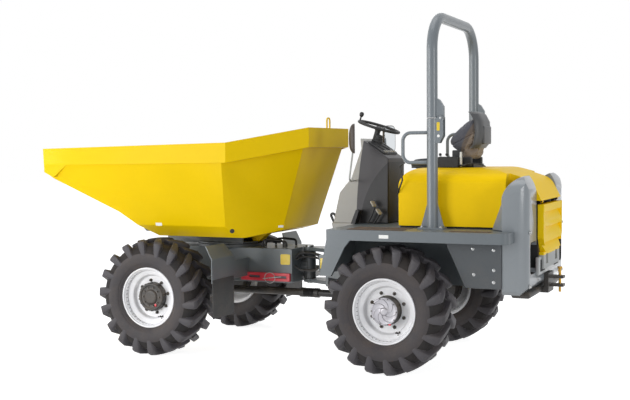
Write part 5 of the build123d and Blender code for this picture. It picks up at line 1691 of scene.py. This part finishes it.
class Fitting:
    """Small shapes laid on the surfaces of CAD nodes."""

    def __init__(self, name: str, body: Body, finishes: Sequence[Finish]) -> None:
        """Starts an empty set of fittings.

        Args:
            name: the piece's name.
            body: the body it rides on.
            finishes: its finishes, by mark.
        """
        self.shape = Mesher(name)
        self.body = body
        self.finishes = finishes

    def lay(self, grid: Points, mark: int = 0) -> "Fitting":
        """Adds a surface."""
        self.shape.grid(grid, mark=mark)
        return self

    def bolts(
        self,
        node: str,
        starts: Sequence[Sequence[float]],
        towards: Sequence[float],
        size: float,
        mark: int = 0,
    ) -> "Fitting":
        """Lays a hexagon head on a washer at each place.

        Args:
            node: the CAD node that they sit on.
            starts: where the lines to its surface start.
            towards: their direction.
            size: half the width of a head.
            mark: which finish they take.

        Returns:
            This set, so that calls can follow on.
        """
        washer = revolved(
            size * np.array(((0, 1.75), (0.18, 1.75), (0.26, 1.6), (0.26, 0))), (0, 0, 0), UP, 18
        )
        head = revolved(
            size * np.array(((0.2, 1.12), (1.0, 1.12), (1.15, 0.95), (1.15, 0))), (0, 0, 0), UP, 6
        )
        for start in starts:
            place, normal = landed(node, start, towards)
            axes = facing(normal)
            for part in (washer, head):
                self.lay(placed(part, place - 0.0004 * normal, *axes), mark)
        return self

    def label(
        self,
        node: str,
        start: Sequence[float],
        towards: Sequence[float],
        size: Sequence[float],
        mark: int = 0,
    ) -> "Fitting":
        """Lays a blank label, a thin plate with rounded corners.

        Args:
            node: the CAD node that it sits on.
            start: where the line to its surface starts.
            towards: the line's direction.
            size: its width and height.
            mark: which finish it takes.

        Returns:
            This set, so that calls can follow on.
        """
        place, normal = landed(node, start, towards)
        outline = rounded_rect(*size, 0.12 * min(size), 4)
        return self.lay(placed(plate(outline, -0.0004, 0.0012, 0.0004), place, *facing(normal)), mark)

    def box(
        self, centre: Sequence[float], size: Sequence[float], radius: float = 0.004, mark: int = 0
    ) -> "Fitting":
        """Adds a block with soft edges."""
        return self.lay(soft_box(centre, size, min(radius, 0.48 * min(size)), 3), mark)

    def pipe(
        self, path: Sequence[Sequence[float]], radius: float, bend: float = 0.03, mark: int = 0
    ) -> "Fitting":
        """Adds a bent round bar or hose.

        Args:
            path: its corners.
            radius: its radius.
            bend: how far from a corner it starts to bend.
            mark: which finish it takes.

        Returns:
            This set, so that calls can follow on.
        """
        line = apart(resampled(path, bend, 6, closed=False))
        up = np.eye(3)[int(np.argmin(np.ptp(line, axis=0)))]
        return self.lay(swept(line, ring_section(radius, 10), up=up), mark)

    def ring(
        self,
        centre: Sequence[float],
        across: Sequence[float],
        rise: Sequence[float],
        radius: float,
        steps: int,
        mark: int,
    ) -> None:
        """Adds a closed round bar; at angle t its middle is centre + across cos t + rise sin t.

        Args:
            centre: the ring's middle.
            across: its half axis at angle 0.
            rise: its half axis at a right angle.
            radius: the bar's radius.
            steps: points round the ring.
            mark: which finish it takes.
        """
        angle = np.linspace(0, 2 * math.pi, steps, endpoint=False)[:, None]
        path = np.array(centre) + np.cos(angle) * np.array(across) + np.sin(angle) * np.array(rise)
        bar = swept(path, ring_section(radius, 8), up=np.abs(np.cross(across, rise)), closed=True)
        self.shape.grid(bar, ring=True, mark=mark)

    def disc(
        self, node: str, start: Sequence[float], towards: Sequence[float], radius: float, height: float
    ) -> "Fitting":
        """Lays a round plug or cap on a surface.

        Args:
            node: the CAD node that it sits on.
            start: where the line to its surface starts.
            towards: the line's direction.
            radius: its radius.
            height: how far it stands out.

        Returns:
            This set, so that calls can follow on.
        """
        place, normal = landed(node, start, towards)
        profile = ((-0.0005, radius), (0.6 * height, radius), (height, 0.85 * radius), (height, 0.0))
        return self.lay(placed(revolved(profile, (0, 0, 0), UP, 24), place, *facing(normal)))

    def make(self) -> None:
        """Makes the piece."""
        self.shape.make(self.body, self.finishes)


@dataclass
class Dressing:
    """The labels, bolts, seals, strips and small ironwork of the whole dumper."""

    deck: float = 1.21
    post: tuple[float, float] = (-1.436, 0.645)
    shaft: float = 0.515
    side: tuple[float, float, float] = (0.0, -1.0, 0.0)
    down: tuple[float, float, float] = (0.0, 0.0, -1.0)
    dash_slope: tuple[float, float, float] = (-0.273, 0.0, -0.185)
    strips: tuple[tuple[float, float, float, float], ...] = (
        # x, y, length, width
        (-1.02, 0.71, 0.5, 0.11),
        (-1.02, 0.88, 0.5, 0.11),
        (-1.83, 0.88, 0.34, 0.09),
    )
    box_bolts: tuple[tuple[float, float], ...] = (
        # x, z
        (-1.818, 1.064), (-1.991, 1.057), (-1.826, 0.852), (-1.992, 0.893),
        (-1.992, 0.794),
    )
    front_hoses: tuple[tuple[float, float], ...] = (
        # y, rise of the bend
        (0.1, 0.03),
        (0.16, 0.045),
        (-0.12, 0.035),
    )
    joint_hoses: tuple[tuple[float, float, float], ...] = (
        # y, z, rise of the middle
        (0.1, 0.865, 0.035),
        (0.135, 0.84, 0.03),
        (0.17, 0.862, 0.05),
        (0.2, 0.8, -0.05),
    )

    def build(self) -> None:
        """Makes every group of fittings."""
        groups = (
            self.skip, self.front, self.swivel, self.rear, self.tail, self.console, self.hoop,
            self.joint, self.eye,
        )
        for group in groups:
            group()

    def skip(self) -> None:
        """Plug and blank labels on the skip's side."""
        fit = Fitting("skip_fittings", Body.SKIP, (Paint.PLASTIC, Paint.LABEL))
        fit.disc("skip", (0.45, 1.4, 1.15), self.side, 0.021, 0.006)
        fit.label("skip", (1.2, 1.4, 1.2), self.side, (0.07, 0.03), 1)
        fit.label("skip", (-0.235, 1.23, 1.232), (0.38, -0.92, -0.06), (0.05, 0.022), 1)
        fit.make()

    def front(self) -> None:
        """Label, lock-bar ring, hoses and bolts of the front chassis."""
        fit = Fitting("front_fittings", Body.FRONT, (Paint.LABEL_YELLOW, Paint.STEEL, Paint.HOSE))
        fit.label("front_frame", (0.14, 0.6, 0.853), self.side, (0.1, 0.1))
        fit.bolts("mudguards", [(0.6, y, 0.84) for y in (0.3, 0.36)], (-1, 0, 0), 0.008, 1)
        low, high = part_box("lock_bar")
        x, y, z = 0.6 * low[0] + 0.4 * high[0], high[1] + 0.004, low[2]
        fit.ring((x, y, z + 0.03), (0.055, 0, 0), (0, 0, 0.05), 0.0028, 24, 1)
        fit.pipe(((x + 0.075, y, z + 0.02), (x - 0.12, y, z + 0.045)), 0.004, mark=1)
        for y, rise in self.front_hoses:
            path = (
                (0.2, 0.957), (0.2, 0.975 + rise), (0.34, 0.985 + rise), (0.42, 0.975 + rise), (0.42, 0.957)
            )
            fit.pipe([(x, y, z) for x, z in path], 0.011, mark=2)
        fit.make()

    def swivel(self) -> None:
        """Bolts round the slewing ring, where it shows at its sides and behind."""
        fit = Fitting("ring_bolts", Body.FRONT, (Paint.DARK_ZINC,))
        middle_x, circle, side_y, behind_x = 0.85, 0.3, 0.262, 0.58
        angle = np.radians(np.arange(0, 360, 15) + 7.5)
        starts = np.stack((middle_x + circle * np.cos(angle), circle * np.sin(angle), 1.2 + 0 * angle), -1)
        kept = [place for place in starts if abs(place[1]) > side_y or place[0] < behind_x]
        fit.bolts("turntable_ring", kept, self.down, 0.006)
        fit.make()

    def rear(self) -> None:
        """Strips, labels and bolts on the deck, side boxes and rear frame."""
        finishes = (Paint.GRIP, Paint.LABEL, Paint.STEEL, Paint.LABEL_YELLOW, Paint.DARK, Paint.SLATE)
        fit = Fitting("rear_fittings", Body.REAR, finishes)
        for s in (1, -1):
            for x, y, long, wide in self.strips:
                fit.box((x, s * y, self.deck + 0.0015), (long, wide, 0.005), 0.0015)
            x, y = self.post
            post = [(x + dx, s * (y + dy), 1.5) for dx in (-0.082, 0.082) for dy in (-0.035, 0.035)]
            fit.bolts("roll_posts", post, self.down, 0.011, 2)
            fit.bolts("side_boxes", [(x, s * 1.4, z) for x, z in self.box_bolts], (0, -s, 0), 0.008, 2)
        fit.label("deck", (-1.118, 1.4, 1.16), self.side, (0.085, 0.03), 1)
        for s in (1, -1):
            fit.box((-0.262, s * 0.277, 0.835), (0.084, 0.012, 0.16), 0.003, 5)
        fit.box((-0.264, 0.2838, 0.834), (0.058, 0.002, 0.098), 0.0008, 3)
        # a near-black sheet on the deck under the hood: a rubber strip at the hood's lower edge, and painted
        # shade in the gap there
        fit.box((-1.55, 0, self.deck + 0.006), (0.86, 1.13, 0.014), 0.003, 4)
        fit.make()

    def tail(self) -> None:
        """Lamp recesses, plate, seals and pin ring at the tail.

        A recess's liner is a cup: a rounded rectangle at its mouth, carried inwards and
        closed by its middle.
        """
        fit = Fitting(
            "tail_fittings", Body.REAR, (Paint.DARK, Paint.PALE, Paint.GOLD, Paint.BLACK, Paint.STEEL)
        )
        outline = rounded_rect(0.244, 0.26, 0.04, 5)
        rows = ((1.0, 0.0), (0.985, -0.058), (0.0, -0.058))
        liner = np.stack([np.column_stack((outline * k, np.full(len(outline), w))) for k, w in rows])
        # the near-black liners are painted shade inside the lamp recesses
        for s in (1, -1):
            fit.lay(placed(liner, (-2.2625, s * 0.522, 0.982), (0, -1, 0), (0, 0, 1), (-1, 0, 0)))
        fit.box((-2.272, 0, 0.9), (0.03, 0.86, 0.15), 0.006, 1)
        for y in (0.29, -0.27):
            fit.box((-2.288, y, 0.9), (0.006, 0.17, 0.1), 0.002)
        fit.box((-2.17, 0, 0.672), (0.16, 1.2, 0.05), 0.02, 3)
        pin = -2.376
        hook = ((-0.02, 0.8), (-0.045, 0.74), (-0.035, 0.66), (-0.006, 0.655))
        fit.pipe([(pin, y, z) for y, z in hook], 0.0035, mark=2)
        fit.ring((pin, 0.036, 0.834), (0, 0.026, 0), (0, 0, 0.026), 0.0035, 20, 2)
        fit.bolts(
            "counterweight", [(-2.5, s * 0.66, z) for s in (1, -1) for z in (0.76, 1.2)], (1, 0, 0), 0.011, 4
        )
        fit.make()

    def console(self) -> None:
        """Dash, column boot, pedals' pads, hook and handbrake at the console."""
        fit = Fitting("console_fittings", Body.REAR, (Paint.PLASTIC, Paint.BEIGE, Paint.BLACK, Paint.DARK))
        up = (-math.sin(Station.tilt), 0.0, math.cos(Station.tilt))
        boot = [(0.012 * k, 0.062 - 0.0042 * k + (0.005 if k % 2 else 0.0)) for k in range(9)] + [(0.1, 0.0)]
        fit.lay(revolved(boot, (-0.69, 0.0, 1.925), up, 28))
        slope, across = self.dash_slope, (0.0, 1.0, 0.0)
        out = (slope[2], 0.0, -slope[0])
        dash = plate(rounded_rect(0.2, 0.36, 0.03, 5), -0.004, 0.012, 0.005)
        fit.lay(placed(dash, (-0.75, 0.0, 1.892), slope, across, out))
        switch = plate(rounded_rect(0.026, 0.026, 0.006, 4), 0.011, 0.017, 0.002)
        for y in (-0.12, -0.06, 0.0, 0.06, 0.12):
            fit.lay(placed(switch, (-0.81, y, 1.852), slope, across, out), 1)
        gauge = ((0.0, 0.05), (0.016, 0.05), (0.02, 0.046), (0.016, 0.042), (0.012, 0.0))
        for y in (-0.065, 0.065):
            fit.lay(revolved(gauge, (-0.745, y, 1.897), out, 28))
        tread = plate(rounded_rect(0.06, 0.075, 0.012, 4), -0.006, 0.006, 0.003)
        for x, z, lean in ((-0.76, 1.392, 1.02), (-0.813, 1.322, 0.96)):
            c, s = math.cos(lean), math.sin(lean)
            fit.lay(placed(tread, (x, 0.275, z), (-c, 0.0, -s), across, (-s, 0.0, c)), 1)
        for stem in (
            ((-0.7, 1.215), (-0.745, 1.3), (-0.772, 1.375)), ((-0.76, 1.215), (-0.8, 1.27), (-0.82, 1.31))
        ):
            fit.pipe([(x, 0.262, z) for x, z in stem], 0.009, mark=2)
        brake = ((-0.35, 1.2), (-0.3, 1.29), (-0.262, 1.28), (-0.3, 1.2), (-0.345, 1.175))
        fit.pipe([(x, 0.1, z) for x, z in brake], 0.012, mark=2)
        hook = (
            (-1.19, 0.645, 1.766),
            (-1.142, 0.63, 1.742),
            (-1.16, 0.615, 1.62),
            (-1.125, 0.6, 1.547),
            (-1.1, 0.56, 1.5),
        )
        fit.pipe(hook, 0.0075, 0.02, 2)
        fit.make()

    def hoop(self) -> None:
        """Blank labels, spots and seals on the posts' folding joints."""
        fit = Fitting("post_fittings", Body.REAR, (Paint.LABEL, Paint.LABEL_YELLOW, Paint.STEEL, Paint.BLACK))
        fit.label("roll_posts", (-1.497, 1.2, 2.07), self.side, (0.026, 0.07), 1)
        fit.disc("roll_posts", (-1.5, 1.2, 1.99), self.side, 0.012, 0.003)
        seal = ((2.13, 0.0), (2.13, 0.043), (2.1392, 0.043), (2.1392, 0.0))
        for s in (1, -1):
            fit.lay(revolved(seal, (self.post[0], s * self.post[1], 0.0), UP, 32), 3)
        fit.make()

    def joint(self) -> None:
        """Hoses and boot across the articulation, each made as two halves that meet at the pivot block.

        A hose is a bent bar from plate to plate; the boot's radius follows a zigzag along its axis.
        """
        halves = (
            ("rear", Body.REAR, Body.PIVOT, -0.31, -0.02),
            ("front", Body.PIVOT, Body.FRONT, 0.0, 0.09),
        )
        reach, steps = 0.072, 13
        for name, behind, ahead, start, end in halves:
            rear = name == "rear"
            hoses = Mesher(f"joint_hoses_{name}")
            for y, z, rise in self.joint_hoses:
                meet = (-0.01, 0.8 * y, z + rise)
                if rear:
                    path = ((-0.32, 1.15 * y, z), (-0.24, 1.15 * y, z), (-0.12, 0.95 * y, z + rise), meet)
                else:
                    path = (meet, (0.03, 0.85 * y, z + rise), (0.078, y, z))
                path = apart(resampled(path, 0.03, 6, closed=False))
                hoses.grid(swept(path, ring_section(0.0105, 10), up=(0, 1, 0)))
            piece = hoses.make(None, (Paint.HOSE,))
            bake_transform(piece)
            low, high = (-reach, 0.0) if rear else (0.0, reach)
            along = np.linspace(low, high, steps)
            radius = 0.038 + 0.007 * (np.arange(steps) % 2)
            profile = np.stack((np.pad(along, 1, mode="edge"), np.pad(radius, 1)), -1)
            boot = Mesher(f"joint_boot_{name}").grid(revolved(profile, (0, 0, self.shaft), (1, 0, 0), 32))
            piece = boot.make(None, (Paint.HOSE,))
            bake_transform(piece)

    def eye(self) -> None:
        """The skip's lifting eye, a bent round bar."""
        path = ((-0.084, 2.079), (-0.084, 2.183), (-0.016, 2.183), (-0.016, 2.079))
        line = resampled([(-0.183, y, z) for y, z in path], 0.033, 8, closed=False)
        bar = Mesher("lifting_eye_bar").grid(swept(line, ring_section(0.0078, 12), up=(1, 0, 0)))
        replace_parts(bar.make(Body.SKIP, (Paint.SKIP,)), "lifting_eye")


# --------------------------------------------------------------------------- studio
@dataclass
class Studio:
    """Camera, lamps, world and the pale floor."""

    place: tuple[float, float, float] = (-4.0976, 8.9413, 1.8852)
    yaw: float = -1.1466
    pitch: float = -0.0489
    roll: float = -0.0088
    lens: float = 58.84
    lamps: tuple[tuple[str, tuple[float, float, float], float, float], ...] = (
        # name, place, side, watts
        ("key", (4.2, 7.5, 2.0), 3.6, 295.0),
        ("front", (8.0, 3.5, 3.0), 4.0, 190.0),
        ("rear", (-8.0, 4.0, 2.6), 2.4, 130.0),
        ("top", (-0.5, 0.5, 8.5), 5.0, 130.0),
        ("far", (2.0, -7.0, 5.0), 4.0, 70.0),
    )

    def build(self) -> None:
        """Makes the whole studio."""
        self.camera()
        for name, place, side, watts in self.lamps:
            self.lamp(name, place, side, watts)
        self.world()
        self.floor()
        bpy.context.scene.view_settings.view_transform = "Standard"

    def camera(self) -> None:
        """Makes the camera: forward from yaw and pitch, then rolled about that line."""
        level = math.cos(self.pitch)
        forward = np.array((math.cos(self.yaw) * level, math.sin(self.yaw) * level, math.sin(self.pitch)))
        right = np.cross(forward, UP)
        right /= np.linalg.norm(right)
        over = np.cross(right, forward)
        c, s = math.cos(self.roll), math.sin(self.roll)
        right, over = c * right + s * over, -s * right + c * over
        data = bpy.data.cameras.new("camera")
        data.sensor_width, data.lens, data.clip_end = 36.0, self.lens, 200.0
        camera = linked("camera", data)
        camera.matrix_world = self.stood(self.place, (right, over, -forward))
        bpy.context.scene.camera = camera

    @staticmethod
    def stood(place: Sequence[float], axes: Sequence[Points]) -> Matrix:
        """The matrix that stands something at a place with the given axes."""
        return Matrix.Translation(place) @ Matrix(np.column_stack(axes).tolist()).to_4x4()

    def lamp(self, name: str, place: Sequence[float], side: float, watts: float) -> None:
        """Makes one square lamp that faces the dumper's middle, a metre above the ground.

        Args:
            name: its name.
            place: where it hangs.
            side: length of its side.
            watts: its power.
        """
        data = bpy.data.lights.new(name, "AREA")
        data.shape, data.size, data.energy = "SQUARE", side, watts
        back = np.array(place) - UP
        linked(name, data).matrix_world = self.stood(place, facing(back / np.linalg.norm(back)))

    @staticmethod
    def seen(nodes: Nodes) -> bpy.types.NodeSocket:
        """1 for rays that show the background: from the camera, a mirror or glass.

        Args:
            nodes: the tree.

        Returns:
            The value.
        """
        path = nodes.add("ShaderNodeLightPath")
        return nodes.math(
            "MAXIMUM",
            path.outputs["Is Camera Ray"],
            nodes.math("MAXIMUM", path.outputs["Is Glossy Ray"], path.outputs["Is Transmission Ray"]),
        )

    def world(self) -> None:
        """Makes the world: white where it is seen, softer where it only lights."""
        world = bpy.data.worlds.new("world")
        bpy.context.scene.world = world
        nodes = Nodes.emptied(world)
        background = nodes.add("ShaderNodeBackground")
        nodes.feed(
            background, "Color", nodes.mix(self.seen(nodes), (0.42, 0.43, 0.45, 1.0), (1.0, 1.0, 1.0, 1.0))
        )
        nodes.feed(nodes.add("ShaderNodeOutputWorld"), 0, background.outputs[0])

    def floor(self) -> None:
        """Makes the pale floor, which keeps the dumper's shadow."""
        made = bpy.data.materials.new("pale_floor")
        nodes = Nodes.emptied(made)
        plain = nodes.add("ShaderNodeBsdfDiffuse")
        plain.inputs["Color"].default_value = (0.75, 0.75, 0.75, 1.0)
        glow = nodes.add("ShaderNodeEmission")
        nodes.feed(glow, "Color", (1.0, 1.0, 1.0, 1.0))
        nodes.feed(glow, "Strength", nodes.math("MULTIPLY", self.seen(nodes), 0.86))
        both = nodes.add("ShaderNodeAddShader")
        nodes.feed(both, 0, plain.outputs[0])
        nodes.feed(both, 1, glow.outputs[0])
        nodes.feed(nodes.add("ShaderNodeOutputMaterial"), 0, both.outputs[0])
        span = np.linspace(-40, 40, 9)
        x, y = np.meshgrid(span, span, indexing="ij")
        grid = np.stack((x, y, np.full(x.shape, -0.001)), -1)
        quads = np.arange(81).reshape(9, 9)
        faces = np.stack((quads[:-1, :-1], quads[1:, :-1], quads[1:, 1:], quads[:-1, 1:]), -1).reshape(-1, 4)
        mesh = bpy.data.meshes.new("floor")
        mesh.from_pydata(grid.reshape(-1, 3).tolist(), [], faces.tolist())
        mesh.materials.append(made)
        floor = linked("floor", mesh)
        floor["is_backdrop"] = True


WHEELS = (
    # place, body, side, driven
    ("front_left", Body.FRONT_LEFT, 1, False),
    ("front_right", Body.FRONT_RIGHT, -1, False),
    ("rear_left", Body.REAR_LEFT, 1, True),
    ("rear_right", Body.REAR_RIGHT, -1, True),
)


def corners() -> list[list[float]]:
    """The shown object's box, as plain lists of numbers."""
    return [[float(value) for value in corner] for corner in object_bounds()]


def main() -> None:
    """Builds the dumper's sub-assemblies in order."""
    logging.basicConfig(level=logging.INFO, format="%(message)s")
    FRAME.update(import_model())
    Studio().build()
    Bodywork().build()
    for place, body, side, driven in WHEELS:
        Tyre(place, body).build()
        Rim(place, body, side, driven).build()
    Seat().build()
    Station().build()
    Dressing().build()


if __name__ == "__main__":
    main()
